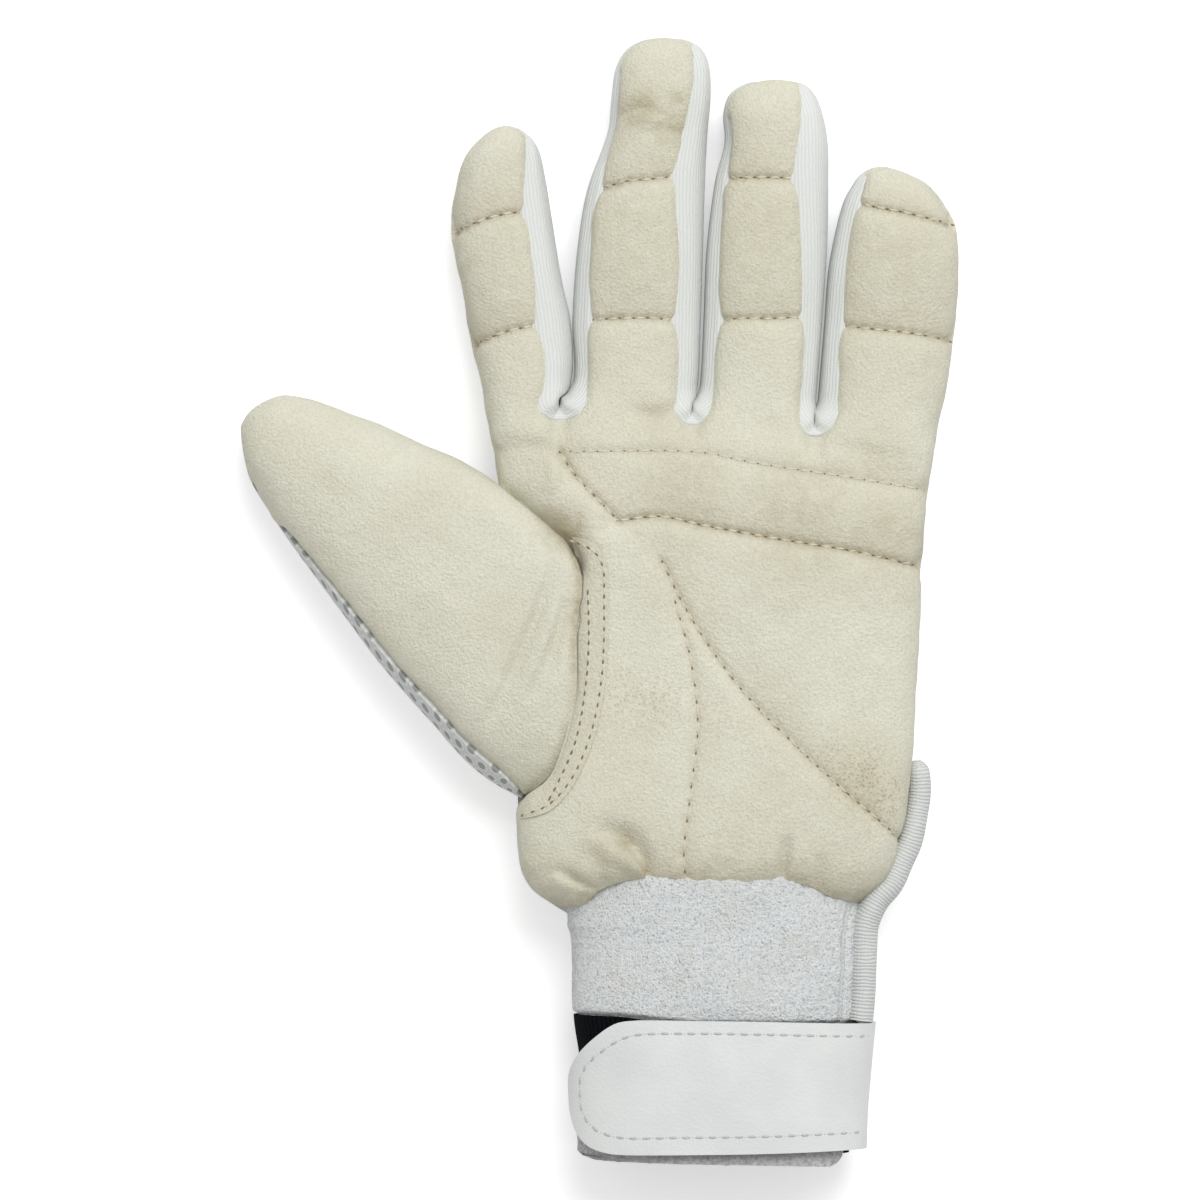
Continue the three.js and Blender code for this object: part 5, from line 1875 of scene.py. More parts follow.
    def sewn(self, points: Array, zones: Array) -> tuple[Array, Array]:
        """Works out the seams.

        Args:
            points: places in millimetres, (n, 3).
            zones: the zone of each.

        Returns:
            How deep they are drawn in at each point, and their soil with painted shade.
        """
        depth, soil = np.zeros(len(points)), np.zeros(len(points))
        for seam, where in self.seams():
            gap, along, side = nearest_on(Curve(seam.points).spaced(), points[:, :2])
            mask = np.isin(zones, where) & (points[:, 2] > self.seam_level)
            narrow = np.exp(-((gap / self.stitch_width) ** 2))
            pucker = 1.0 + self.stitch_pucker * np.cos(2.0 * math.pi * along / seam.pitch)
            reach = self.seam_width * np.where(side > 0, *self.seam_sides)
            drawn = self.seam_depth * np.exp(-((gap / reach) ** 1.4)) + self.stitch_depth * pucker * narrow
            depth = np.maximum(depth, np.where(mask, seam.drawn_in * drawn, 0.0))
            dark = self.stitch_soil * narrow
            # soil at the stitches, and soil with painted shade to the left of the line's run
            dark += self.seam_soil_and_shade * np.exp(-gap / self.seam_soil_and_shade_reach) * (side > 0)
            soil = np.maximum(soil, np.where(mask, dark * min(seam.drawn_in, 1.0), 0.0))
        return depth, soil

    def creased(self, points: Array, zones: Array) -> Array:
        """Works out the soft folds.

        Args:
            points: places in millimetres, (n, 3).
            zones: the zone of each.

        Returns:
            How deep they go in at each point.
        """
        depth = np.zeros(len(points))
        for thumb, creases in ((False, PALM_CREASES), (True, THUMB_CREASES)):
            mask = ((zones == ZONE_THUMB) == thumb) & (points[:, 2] > self.crease_level)
            for crease in creases:
                line = Curve(crease.points).spaced()
                gap, along, side = nearest_on(line, points[:, :2])
                fade = np.sin(math.pi * np.clip(along / strides(line).sum(), 0.0, 1.0)) ** 0.7
                reach = crease.width * (1.0 + crease.lean * side)
                depth += np.where(mask, crease.depth * fade * np.exp(-((gap / reach) ** 2)), 0.0)
        return depth

    def soiled_and_shaded(self, points: Array, zones: Array) -> Array:
        """Works out the soil in spots, the painted shade in the folds of the heel, and the soil along the
        seam of the thumb.

        Args:
            points: places in millimetres, (n, 3).
            zones: the zone of each.

        Returns:
            The soil and painted shade at each point.
        """
        gap, along, _ = nearest_on(THUMB_FOLD.spaced(), points[:, :2])
        foot, crotch = self.thumb_soil
        worn = foot + (crotch - foot) * rise(along, *self.thumb_soil_run)
        worn = worn * np.exp(-((gap / self.thumb_soil_width) ** 2))
        return np.maximum(spotted(points, SOIL_AND_SHADE_SPOTS), np.where(zones == ZONE_THUMB, worn, 0.0))

    def edge_gap(self, whole: Piece, points: Array) -> Array:
        """Measures how far the skin is from its edges.

        Args:
            whole: the skin.
            points: its vertices in millimetres.

        Returns:
            Distance of each vertex to the nearest edge.
        """
        rim = self.rim(whole)
        rim = rim[points[rim, 2] > self.edge_level]
        tree = KDTree(len(rim))
        for k, point in enumerate(points[rim]):
            tree.insert(point, k)
        tree.balance()
        return np.array([tree.find(point)[2] for point in points])

    def settle(self, whole: Piece, zones: Array) -> None:
        """Rolls the heel under at the cuff and lets the palm dip beside the thumb.

        Args:
            whole: the skin.
            zones: the zone of each vertex.
        """
        points = in_hand(places(whole))
        plan = points[:, :2].copy()
        x, y = plan.T
        palm = zones == ZONE_PALM
        high = rise(points[:, 2], *self.dip_levels)
        gap = y - heel_edge(x)
        wave = np.sin(2.0 * math.pi * x / self.hem_pitch + ripple(plan, 20.0, 8))
        wave = self.hem_wave * wave * np.exp(-np.maximum(gap, 0.0) / self.hem_reach)
        points[:, 2] += np.where(palm, wave * high, 0.0)
        points = np.where(palm[:, None], cuffed(points, gap, self.heel_roll), points)
        beside = rise(y, *self.thumb_dip_foot) * rise(y, *self.thumb_dip_head)
        dip = self.thumb_dip * np.exp(-np.maximum(x - thumb_seam(y), 0.0) / self.thumb_dip_reach) * beside
        reach, along, side = nearest_on(THUMB_EDGE.spaced(), plan)
        reach = np.where(side < 0, 0.0, reach)
        near = rise(along, *self.crotch_run) * rise(x, *self.crotch_right) * rise(y, *self.crotch_foot)
        dip += self.crotch_dip * np.exp(-reach / self.crotch_width) * near
        level = points[:, 2]
        dipped = np.maximum(level - dip * high, np.minimum(level, self.dip_floor))
        points[:, 2] = np.where(palm, dipped, level)
        move_to(whole, in_model(points))

    def part(self, whole: Piece) -> None:
        """Parts the skin into its pieces, pads them and dresses them.

        Args:
            whole: the skin.
        """
        stitching = Stitching(self.finishes, surface_of(whole))
        jobs = [
            ("palm_cover", ZONE_PALM, KNUCKLE_FOLD, PALM_NODES),
            ("thumb_cover", ZONE_THUMB, THUMB_BEND, THUMB_NODES),
        ]
        for part in PARTS:
            nodes = (f"{part.link}_leather", f"{part.link}_foam")
            jobs.append((f"{part.name}_cover", part.zone, part.fold, nodes))
            part.fold.bend(stitching.build(f"{part.name}_thread", [part.seam]))
        KNUCKLE_FOLD.bend(stitching.build("palm_thread", PALM_SEAMS))
        for name, zone, fold, nodes in jobs:
            piece = part_zone(whole, zone, name)
            thicken(piece, PAD)
            dress(piece, self.finishes.chamois, "chamois", *nodes)
            fold.bend(piece)
            self.pieces[name] = piece
        bpy.data.objects.remove(whole)


CUFF_NECK = -75.0  # the cuff runs on straight from here under the heel
CUFF_SINK = 0.5  # the hand's edge is sewn this deep into the towelling
CUFF_SAMPLES = 721  # round the cuff's upper edge


def cuffed(points: Array, gap: Array, roll: float) -> Array:
    """Draws the lower edge of the hand in until it meets the cuff all round.

    Args:
        points: places in millimetres, (n, 3).
        gap: how far each place lies above that edge.
        roll: length over which the hand rolls in.

    Returns:
        The moved places.
    """
    angles = np.linspace(-180.0, 180.0, CUFF_SAMPLES)
    neck = HAND.at_y(np.array(CUFF_NECK))
    middle = np.array([HAND.centre(neck)[0], CUFF_TOP / 2])
    ring = HAND.point(np.full(angles.shape, neck), angles, CUFF_SINK)[:, [0, 2]] - middle
    off = points[:, [0, 2]] - middle
    size = np.linalg.norm(off, axis=1)
    bearing, ring_bearing = (np.arctan2(spots[:, 1], spots[:, 0]) for spots in (off, ring))
    target = np.interp(bearing, ring_bearing, np.linalg.norm(ring, axis=1), period=2.0 * math.pi)
    bend = np.clip(1.0 - gap / roll, 0.0, 1.0)
    share = 1.0 - np.sqrt(1.0 - bend**2)
    moved = points.copy()
    moved[:, [0, 2]] = middle + off * (1.0 + (target / size - 1.0) * share)[:, None]
    return moved


def bowed(t: Array, points: Array) -> Array:
    """Gives points of the thumb whose first rows follow the curve of its seam on the palm.

    Args:
        t: rung positions, (rows,).
        points: places, (rows, columns, 3).

    Returns:
        The moved places.
    """
    foot, crotch = THUMB.left.points[0], THUMB.right.points[0]
    way = crotch - foot
    share = np.clip(((points[..., :2] - foot) @ way) / (way @ way), 0.0, 1.0)
    fold = THUMB_FOLD.spaced(0.5) + (THUMB_LAP, 0.0)
    fold_share = ((fold - foot) @ way) / (way @ way)
    aside = np.stack([np.interp(share, fold_share, fold[:, k]) for k in range(2)], axis=-1)
    fade = (1.0 - smooth(t / THUMB_ARC))[:, None, None]
    moved = points.copy()
    moved[..., :2] += (aside - foot - share[..., None] * way) * fade
    return moved


@dataclass
class Stitching:
    """Thread along sewn lines: one stitch modelled once and copied along each line."""

    finishes: Finishes
    surface: BVHTree
    radius: float = 0.26
    flat: float = 0.8  # a stitch's height, in radii
    half: float = 0.36  # half its length, in pitches
    sink: float = 0.05
    hole: float = 0.13  # half height of a needle hole
    hole_swell: float = 0.05  # it is this much wider for each hole width of its length
    hole_lift: float = 0.02
    eye: float = 300.0  # height from where the surface is looked at

    def spot(self, x: float, y: float) -> tuple[Array, Array] | None:
        """Looks at the surface from above.

        Args:
            x: where to look, across the hand.
            y: and along it.

        Returns:
            Place and normal of what is seen there, or nothing.
        """
        start = Vector(in_model(np.array([x, y, self.eye])))
        place, normal, _, _ = self.surface.ray_cast(start, Vector((0, 0, -1)))
        if place is None:
            return None
        return in_hand(np.array(place)), np.array(normal)

    def ball(self) -> tuple[Array, list[tuple[int, ...]]]:
        """Makes the ball that is copied for each stitch and needle hole.

        Returns:
            Its points and faces.
        """
        bpy.ops.object.select_all(action="DESELECT")
        bpy.ops.mesh.primitive_uv_sphere_add(segments=8, ring_count=5, radius=1.0)
        pattern = bpy.context.object
        points, faces = places(pattern), [tuple(face.vertices) for face in pattern.data.polygons]
        bpy.data.meshes.remove(pattern.data)
        return points, faces

    def build(self, name: str, seams: Sequence[Seam], white: bool = False) -> Piece:
        """Builds the thread of some seams, dark needle holes of painted shade and stitches by turns.

        Args:
            name: name of the piece.
            seams: the sewn lines.
            white: the thread is white.

        Returns:
            The piece, thread first and needle holes second.
        """
        ball, faces = self.ball()
        points, polygons, kinds = [], [], []
        lifts = (self.hole_lift, -self.sink)
        for seam in seams:
            fine = Curve(seam.points).spaced(seam.pitch / 2)
            dark = np.array([2 * self.hole * seam.hole, self.hole + self.hole_swell * seam.hole, self.hole])
            stitch = np.array([seam.pitch * self.half, self.radius, self.radius * self.flat])
            for k, (spot, way) in enumerate(zip(fine, np.gradient(fine, axis=0))):
                found = self.spot(*spot)
                if found is None:
                    continue
                centre, normal = found
                run = np.array([*way, 0.0])
                run -= normal * (run @ normal)
                run /= np.linalg.norm(run)
                axes = np.stack([run, np.cross(normal, run), normal])
                base = len(points) * len(ball)
                points.append((ball * (dark, stitch)[k % 2]) @ axes + centre + normal * lifts[k % 2])
                polygons.extend(tuple(v + base for v in face) for face in faces)
                kinds.extend([1 - k % 2] * len(faces))
        mesh = bpy.data.meshes.new(name)
        mesh.from_pydata(in_model(np.concatenate(points)).tolist(), [], polygons)
        piece = bpy.data.objects.new(name, mesh)
        bpy.context.scene.collection.objects.link(piece)
        mesh.materials.append(self.finishes.white_thread if white else self.finishes.thread)
        mesh.materials.append(self.finishes.white_hole if white else self.finishes.needle_hole)
        mesh.polygons.foreach_set("material_index", np.array(kinds, np.int32))
        select_only(piece)
        bpy.ops.object.shade_smooth()
        return piece


@dataclass
class KnitSides:
    """Knit strips along the sides of the fingers and the webs between them."""

    finishes: Finishes
    pitch: float = 1.3
    columns: int = 14
    sunk: float = 0.9  # the knit lies this far inside the cover at its seam
    tuck: float = 2.0  # and its edge reaches under the cover, this much deeper
    tip_gap: float = 0.3  # it ends this far short of the finger's tip
    lap: float = 0.2  # share of the side's depth over which that edge is tucked in
    crowding: float = 1.25  # columns crowd towards the cover by this power
    clear: Span = (0.0, 1 / 3)  # share of the depth over which the knit comes out to the outline
    web_rows: int = 12
    web_steps: int = 3  # rows across the foot of a web
    web_swell: float = 0.3  # the two sides of a web swell to meet each other
    web_start: Span = (BASE_SPLIT, BASE_SPLIT - 0.4)  # rungs over which they start to
    web_bow: float = 4.0  # length over which a web slopes towards the tips
    least_flat: float = 10.0  # no piece is cut narrower or shorter than this
    shade_angle: float = 80.0

    def depths(self) -> tuple[Array, Array]:
        """Spaces the columns of a strip.

        Returns:
            Their depths from the cover to the back, and their insets.
        """
        depths = np.linspace(0.0, 1.0, self.columns + 1) ** self.crowding
        depths = np.concatenate([[-self.lap, -self.lap / 2], depths])
        inset = self.sunk * (1.0 - rise(depths, *self.clear))
        return depths, inset + self.tuck * np.maximum(-depths / self.lap, 0.0)

    def build(self) -> None:
        """Builds all strips and webs."""
        for part in PARTS:
            for side in part.finger.knit:
                self.strip(part, side)
        for left, right in zip(FINGERS[:-1], FINGERS[1:]):
            self.web(left, right)

    def strip(self, part: FingerPart, side: Side) -> None:
        """Builds a strip.

        Args:
            part: part of a finger.
            side: on which of its sides.
        """
        t = part.finger.ladder.rows(*part.span, self.pitch)
        points = part.finger.side_points(t, side, *self.depths())
        word = side.name.lower()
        short = self.tip_gap if part.zone >= ZONE_END else 0.0
        piece = grid_sheet(f"{part.name}_{word}_knit", points if side is Side.RIGHT else points[:, ::-1])
        self.finish(piece, points, f"{part.link}_{word}_strip", short)
        part.fold.bend(piece)

    def web(self, left: Finger, right: Finger) -> None:
        """Builds the web between two fingers: down one side, across and up the other.

        Args:
            left: the finger on its left.
            right: the one on its right.
        """
        depths, inset = self.depths()
        t = np.linspace(BASE_SPLIT, WEB, self.web_rows)
        inset = inset - self.web_swell * rise(depths, *self.clear) * rise(t, *self.web_start)[:, None]
        down = left.side_points(t, Side.RIGHT, depths, inset)
        up = right.side_points(t[::-1], Side.LEFT, depths, inset[::-1])
        steps = np.linspace(0.0, 1.0, self.web_steps + 2)[1:-1, None, None]
        across = down[-1:] * (1 - steps) + up[:1] * steps
        points = np.concatenate([down, across, up], axis=0)
        climb = (points[..., 1] - points[len(t), 0, 1]) / self.web_bow
        points[..., 1] += WEB_REACH * depths * np.exp(-(climb**2))
        piece = grid_sheet(f"{left.name}_{right.name}_web_knit", points[:, ::-1])
        self.finish(piece, points, f"{left.name}_{right.name}_web")
        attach(piece, "knuckles")

    def finish(self, piece: Piece, points: Array, node: str, short: float = 0.0) -> None:
        """Thickens a piece of knit, trims its end, dresses it and hides the node it replaces.

        Args:
            piece: the sheet.
            points: its places.
            node: the node of the model that it replaces.
            short: how far it ends short of its highest place.
        """
        thicken(piece, KNIT, self.shade_angle)
        held = places(piece)
        held[:, 1] = np.minimum(held[:, 1], in_model(points)[..., 1].max() - short * MM)
        move_to(piece, held)
        dress(piece, self.finishes.side_knit, "side_knit", node)


@dataclass
class MeshBack:
    """Spacer mesh over the back of the hand and of the fingers."""

    finishes: Finishes
    skin: HandSkin = HandSkin(BACK_PITCH, BACK_WRAP, flip=True)
    foot_roll: float = 9.0
    hand_size: tuple[float, float] = (160.0, 130.0)  # cut flat, knuckles included
    hand_share: float = 0.6  # of that rectangle, as the cut narrows to the wrist and between the fingers

    def build(self) -> None:
        """Builds the back of the hand and of each finger."""
        hand = self.skin.palm_sheet("hand_back_mesh")
        points = in_hand(places(hand))
        move_to(hand, in_model(cuffed(points, points[:, 1] - self.skin.back_foot, self.foot_roll)))
        thicken(hand, MESH)
        dress(hand, self.finishes.spacer_mesh, "spacer_mesh", "hand_back", "knuckle_back")
        KNUCKLE_FOLD.bend(hand)
        for part in PARTS:
            piece = self.skin.finger_sheet(f"{part.name}_back_mesh", part)
            width, length = (lengths.mean() for lengths in arcs(self.skin.finger_points(part)))
            thicken(piece, MESH)
            dress(piece, self.finishes.spacer_mesh, "spacer_mesh", f"{part.link}_back")
            part.fold.bend(piece)


@dataclass
class ThumbBack:
    """Spacer mesh round the back of the thumb, seen beside the leather, and the welt of its seam."""

    finishes: Finishes
    pitch: float = 1.1
    columns: int = 96
    rows: int = 70  # of the welt, from the foot of its seam to the crotch
    welt_columns: int = 15
    tucked: float = 2.0  # the welt reaches this far under the thumb
    lap: float = 0.4  # and at its ends this far short of the seam
    proud: float = 0.7  # it stands up from the palm by this share of its thickness
    fold_depth: float = 0.9  # of the fold along its upper part
    fold_place: float = 0.42  # share of its width where that fold lies
    fold_width: float = 0.1
    soil: float = 0.08
    # painted shade along the fold
    fold_shade: float = 0.6
    edge_soil: float = 0.35
    edge_width: float = 0.12
    crotch_soil: float = 0.5
    stain: float = 0.15
    hung_foot: float = 6.5  # leather hangs inside from the seam, down to this height
    hung_lean: float = 3.5  # and leans this far under the heel at the seam's foot
    hung_columns: int = 5
    tuck_runs: tuple[Span, Span] = ((-1.6, 3.0), (6.0, 0.0))  # ramps from the foot of the welt to its crotch
    upper_runs: tuple[Span, Span] = ((-4.0, 1.6), (12.0, 0.0))
    crotch_run: Span = (-8.0, 1.0)
    lean_run: Span = (1.0, -6.0)

    def build(self, palm: Piece) -> None:
        """Builds the mesh and the welt.

        Args:
            palm: the palm cover that the welt lies on.
        """
        t = THUMB.rows(0.0, THUMB.last - TIP_STOP, self.pitch)
        edge = THUMB.angle(t, thumb_mesh_share(t))[:, None] - 360.0
        turn = np.linspace(0.0, 1.0, self.columns)
        points = bowed(t, THUMB.point(t[:, None], THUMB_WRAP + (edge - THUMB_WRAP) * turn))
        piece = grid_sheet("thumb_back_mesh", points)
        subdivide(piece)
        thicken(piece, MESH)
        dress(piece, self.finishes.spacer_mesh, "spacer_mesh", "thumb_back")
        THUMB_BEND.bend(piece)
        self.welt(palm)

    def ramp(self, start: float, end: float) -> Array:
        """Returns a soft step along the welt, whose share runs evenly from start at its foot to end."""
        return smooth(np.linspace(start, end, self.rows))

    def welt_points(self, palm: Piece) -> tuple[Array, Array]:
        """Lays out the welt, from what hangs inside to its outer edge.

        Args:
            palm: the palm cover it lies on.

        Returns:
            Places, (rows, columns, 3), and their soil with painted shade in the fold.
        """
        stitching = Stitching(self.finishes, surface_of(palm))
        shares = np.linspace(0.0, 1.0, self.welt_columns)
        inner = THUMB_FOLD.at(np.linspace(0.0, THUMB_FOLD.last, self.rows))
        foot, head = (self.ramp(*run) for run in self.tuck_runs)
        inner[:, 0] -= self.tucked * foot * head - self.lap
        outer = WELT_EDGE.at(np.linspace(0.0, WELT_EDGE.last, self.rows))
        plan = inner[:, None] * (1 - shares[:, None]) + outer[:, None] * shares[:, None]
        seen = [stitching.spot(*spot) for spot in plan.reshape(-1, 2)]
        levels = np.array([spot[0][2] if spot else WELT_LEVEL for spot in seen]).reshape(plan.shape[:2])
        points = np.dstack([plan, levels + WELT * self.proud])
        foot, head = (self.ramp(*run) for run in self.upper_runs)
        upper = (foot * head)[:, None]
        fold = np.exp(-(((shares - self.fold_place) / self.fold_width) ** 2)) * upper
        points[..., 2] -= self.fold_depth * fold
        edge = np.exp(-shares / self.edge_width) * upper
        crotch = self.ramp(*self.crotch_run)[:, None]
        # painted shade along the fold; soil elsewhere
        soil = self.soil + self.fold_shade * fold + self.edge_soil * edge + self.crotch_soil * crotch
        hung = np.repeat(points[:, :1], self.hung_columns, axis=1)
        drop = np.linspace(0.0, 1.0, self.hung_columns, endpoint=False)
        hung[..., 1] -= self.hung_lean * (1.0 - drop) * self.ramp(*self.lean_run)[:, None]
        hung[..., 2] = self.hung_foot + (hung[..., 2] - self.hung_foot) * drop
        soil = np.pad(soil, ((0, 0), (self.hung_columns, 0)), mode="edge")
        return np.concatenate([hung, points], axis=1), soil

    def welt(self, palm: Piece) -> None:
        """Builds the narrow leather welt beside the thumb's seam, with its two rows of stitches.

        Args:
            palm: the palm cover it lies on.
        """
        points, soil = self.welt_points(palm)
        piece = grid_sheet("thumb_welt_leather", points)
        mark(piece, SOIL_AND_SHADE, soil.ravel())
        mark(piece, STAIN_AND_SHADE, np.full(soil.size, self.stain))
        subdivide(piece)
        thicken(piece, WELT)
        dress(piece, self.finishes.chamois, "chamois", "thumb_welt")
        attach(piece, "palm")
        thread = Stitching(self.finishes, surface_of(piece)).build("thumb_welt_thread", WELT_ROWS)
        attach(thread, "palm")


CUFF_START = -58.0
CUFF_HEM = 2.6  # the cuff runs on this far under the band
CUFF_SEAM = Seam("cuff", [(57.2, -70.4), (56.0, -76.0), (55.7, -84.0), (55.2, -94.6)], pitch=1.7, hole=0.6)
BAND_START = -95.4
BAND_END = -127.0
BAND_SLOPE = 2.0  # the band starts this much lower at the right
BAND_SLOPE_RUN = (0.0, 25.0)  # and slopes between these places
RING_RUNG = 10.0  # the girth of the wrist is taken at this rung
RING_SAMPLES = 2000
LOOP_LIFT = 1.2
LOOP_ENDS = (-129.4, -103.0)  # lower and upper edge
LOOP_SIDES = (-7.0, 55.6)
LOOP_CORNERS = (8.0, 4.6)  # widths of its rounded lower corners
LOOP_CORNER_TOP = -125.4
LOOP_CORNER_HEIGHT = 4.2
LOOP_SLANT = 9.5  # its left side leans in by this at the top
LOOP_SLANT_RUN = (-119.0, -106.0)
LOOP_DROOP = 1.6  # its lower edge hangs by this at the right
LOOP_DROOP_RUN = (-118.0, -126.0)
LOOP_PIVOT = 0.7  # share of its width where it doesn't hang
LOOP_GRID = (34, 70)  # rows and columns
HOOK_LIFT = 2.2
HOOK_ENDS = (-122.5, -103.5)
HOOK_ANGLES = (144.0, 92.0)
HOOK_GRID = (12, 30)
STRAP_LIFT = 3.9
STRAP_GRID = (44, 120)
STRAP_LEFT_END = Curve(
    [(6.0, -126.9), (1.5, -126.6), (-2.8, -125.2), (-5.6, -122.4), (-7.2, -118.0), (-7.6, -113.0),
     (-7.4, -108.4), (-5.4, -104.2), (-1.2, -99.9), (3.5, -96.8), (8.3, -96.1)]
)
STRAP_DROOP = 1.0  # the strap narrows by this on each edge towards its root
STRAP_TAPER = 1.6  # it has narrowed after its length divided by this
STRAP_BORDER = 4.0  # stitches run this far inside the lower edge
STRAP_RIM = 2.8  # and this far inside the end and the upper edge
BORDER_SHARE = 0.66  # they reach this share of its length
BORDER_STEP = 8  # columns of the strap from point to point of their line
BORDER_STARTS = (12, 16)  # columns where its lower and upper run end
BORDER_POINTS = 15  # round the end of the strap
STRAP_HALF = 15.0  # half its width
ROOT_ANGLE = -38.0
ROOT_SLACK = 0.33  # its root lies at this share of the lift
ROOT_TURN = (-40.0, -6.0)  # angles over which it comes up to the full lift
BINDING_LINE = Curve(
    [(72.6, -37.0), (73.2, -43.8), (72.3, -49.6), (70.7, -55.8), (68.6, -60.4), (66.3, -65.0), (63.0, -69.1),
     (60.8, -74.2), (60.2, -79.5), (60.1, -86.4), (59.6, -93.3), (59.2, -96.5)]
)


def wrist_angle(t: Array, x: Array, lift: float) -> Array:
    """Returns the angle on top of the wrist where a layer, lifted off it, is at x."""
    half = HAND.width(t) / 2 + lift
    return HAND.angle(t, np.clip((x - HAND.centre(t)[..., 0]) / half, -1.0, 1.0))


@dataclass
class Wrist:
    """Towelling cuff, black band, fastener patches, strap and binding."""

    finishes: Finishes
    cuff_pitch: float = 0.42
    loop_size: float = 0.95
    loop_height: float = 0.22
    loop_lean: tuple[float, float] = (0.37, 0.53)  # the scatter of loops runs on down the sides
    hem_tuck: float = 1.4  # the cuff is drawn in this much under the band
    hem_fade: float = 1.2
    heel_tuck: float = 3.0  # and this much under the heel
    heel_span: Span = (-64.0, -59.0)
    groove: float = 0.8  # depth and width of the sewn line beside the binding
    band_pitch: float = 1.5
    band_sink: float = 0.1
    binding_pitch: float = 0.8
    binding_half: tuple[float, float] = (2.7, 3.2)  # half its width at its upper end, and lower down
    binding_level: tuple[float, float] = (15.0, 20.0)  # height of its middle at both ends
    binding_rise: float = 5.0  # half its height
    binding_tip: float = 0.05  # share of its length over which its end is rounded
    binding_runs: tuple[float, float] = (0.5, 0.625)  # and over which it widens and climbs
    binding_columns: int = 24
    strap_angle: float = 40.0  # the strap's edges are sharper than this
    strap_stitch: float = 0.36  # radius of its thread
    cuff_wave: Wave = (0.25, 14.0, 21)
    loop_wave: Wave = (0.1, 3.0, 31)
    strap_wave: Wave = (0.12, 18.0, 41)
    binding_wave: Wave = (0.15, 9.0, 51)

    def build(self) -> None:
        """Builds the pieces of the wrist."""
        self.cuff()
        self.band()
        self.loop_patch()
        self.strap()
        self.binding()

    def ring(self, name: str, start: float, end: float, pitch: float, lift: float) -> Piece:
        """Builds a ring round the wrist.

        Args:
            name: name of the ring.
            start: height of its upper edge.
            end: and of its lower edge.
            pitch: distance from point to point.
            lift: how far it lies off the wrist.

        Returns:
            The sheet.
        """
        y = np.linspace(end, start, max(int(abs(end - start) / pitch), 2) + 1)
        fine = np.linspace(360.0, 0.0, RING_SAMPLES)
        along = running(strides(HAND.point(np.full(fine.shape, RING_RUNG), fine)))
        angles = np.interp(np.linspace(0.0, along[-1], int(along[-1] / pitch) + 1)[:-1], along, fine)
        points = HAND.point(HAND.at_y(np.minimum(y, CUFF_NECK))[:, None], angles[None, :], -lift)
        points[..., 1] += np.maximum(y - CUFF_NECK, 0.0)[:, None]
        return grid_sheet(name, points, closed=True)

    def cuff(self) -> None:
        """Builds the towelling cuff with its loops."""
        piece = self.ring("cuff_towelling", CUFF_START, BAND_START - CUFF_HEM, self.cuff_pitch, 0.0)
        points = in_hand(places(piece))
        self.slope(piece, CUFF_NECK)
        loops = bumps(points[:, :2] + points[:, 2:] * self.loop_lean, self.loop_size, 5)
        inwards = self.hem_tuck * rise(points[:, 1], BAND_START + self.hem_fade, BAND_START)
        inwards += self.heel_tuck * rise(points[:, 1], *self.heel_span)
        gap, _, _ = nearest_on(Curve(CUFF_SEAM.points).spaced(), points[:, :2])
        inwards += self.groove * np.exp(-((gap / self.groove) ** 2)) * (points[:, 2] > CUFF_TOP / 2)
        push(piece, self.loop_height * loops - inwards + waves(points, self.cuff_wave))
        mark(piece, LOOPS, loops)
        thicken(piece, TERRY)
        dress(piece, self.finishes.towelling, "towelling", "cuff")
        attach(piece, "palm")
        stitching = Stitching(self.finishes, surface_of(piece))
        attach(stitching.build("cuff_thread", [CUFF_SEAM], white=True), "palm")

    def slope(self, piece: Piece, still: float) -> None:
        """Slopes the line between cuff and band down to the right.

        Args:
            piece: cuff or band.
            still: height of the edge that stays.
        """
        points = in_hand(places(piece))
        aside = rise(points[:, 0], *BAND_SLOPE_RUN)
        points[:, 1] -= BAND_SLOPE * rise(points[:, 1], still, BAND_START) * aside
        move_to(piece, in_model(points))

    def band(self) -> None:
        """Builds the plain black band under the strap."""
        piece = self.ring("wrist_band_knit", BAND_START, BAND_END, self.band_pitch, -self.band_sink)
        self.slope(piece, BAND_END)
        thicken(piece, BAND)
        dress(piece, self.finishes.band_knit, "band_knit", "wrist_band")
        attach(piece, "palm")

    def loop_patch(self) -> None:
        """Builds the grey loop patch, which shows below the strap."""
        y = np.linspace(*LOOP_ENDS, LOOP_GRID[0])
        t = HAND.at_y(y)
        turn = np.linspace(0.0, 1.0, LOOP_GRID[1])
        bend = np.clip((LOOP_CORNER_TOP - y) / LOOP_CORNER_HEIGHT, 0.0, 1.0)
        corner = 1.0 - np.sqrt(1.0 - bend**2)
        left = LOOP_SIDES[0] + LOOP_CORNERS[0] * corner + LOOP_SLANT * rise(y, *LOOP_SLANT_RUN)
        right = LOOP_SIDES[1] - LOOP_CORNERS[1] * corner
        start, end = (wrist_angle(t, x, LOOP_LIFT)[:, None] for x in (left, right))
        points = HAND.point(t[:, None], start + (end - start) * turn, -LOOP_LIFT)
        points[..., 1] -= LOOP_DROOP * (turn * rise(y, *LOOP_DROOP_RUN)[:, None] - LOOP_PIVOT)
        piece = grid_sheet("loop_patch_fuzz", points)
        uneven(piece, self.loop_wave)
        thicken(piece, LOOP)
        dress(piece, self.finishes.loop, "loop", "loop_patch")
        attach(piece, "palm")

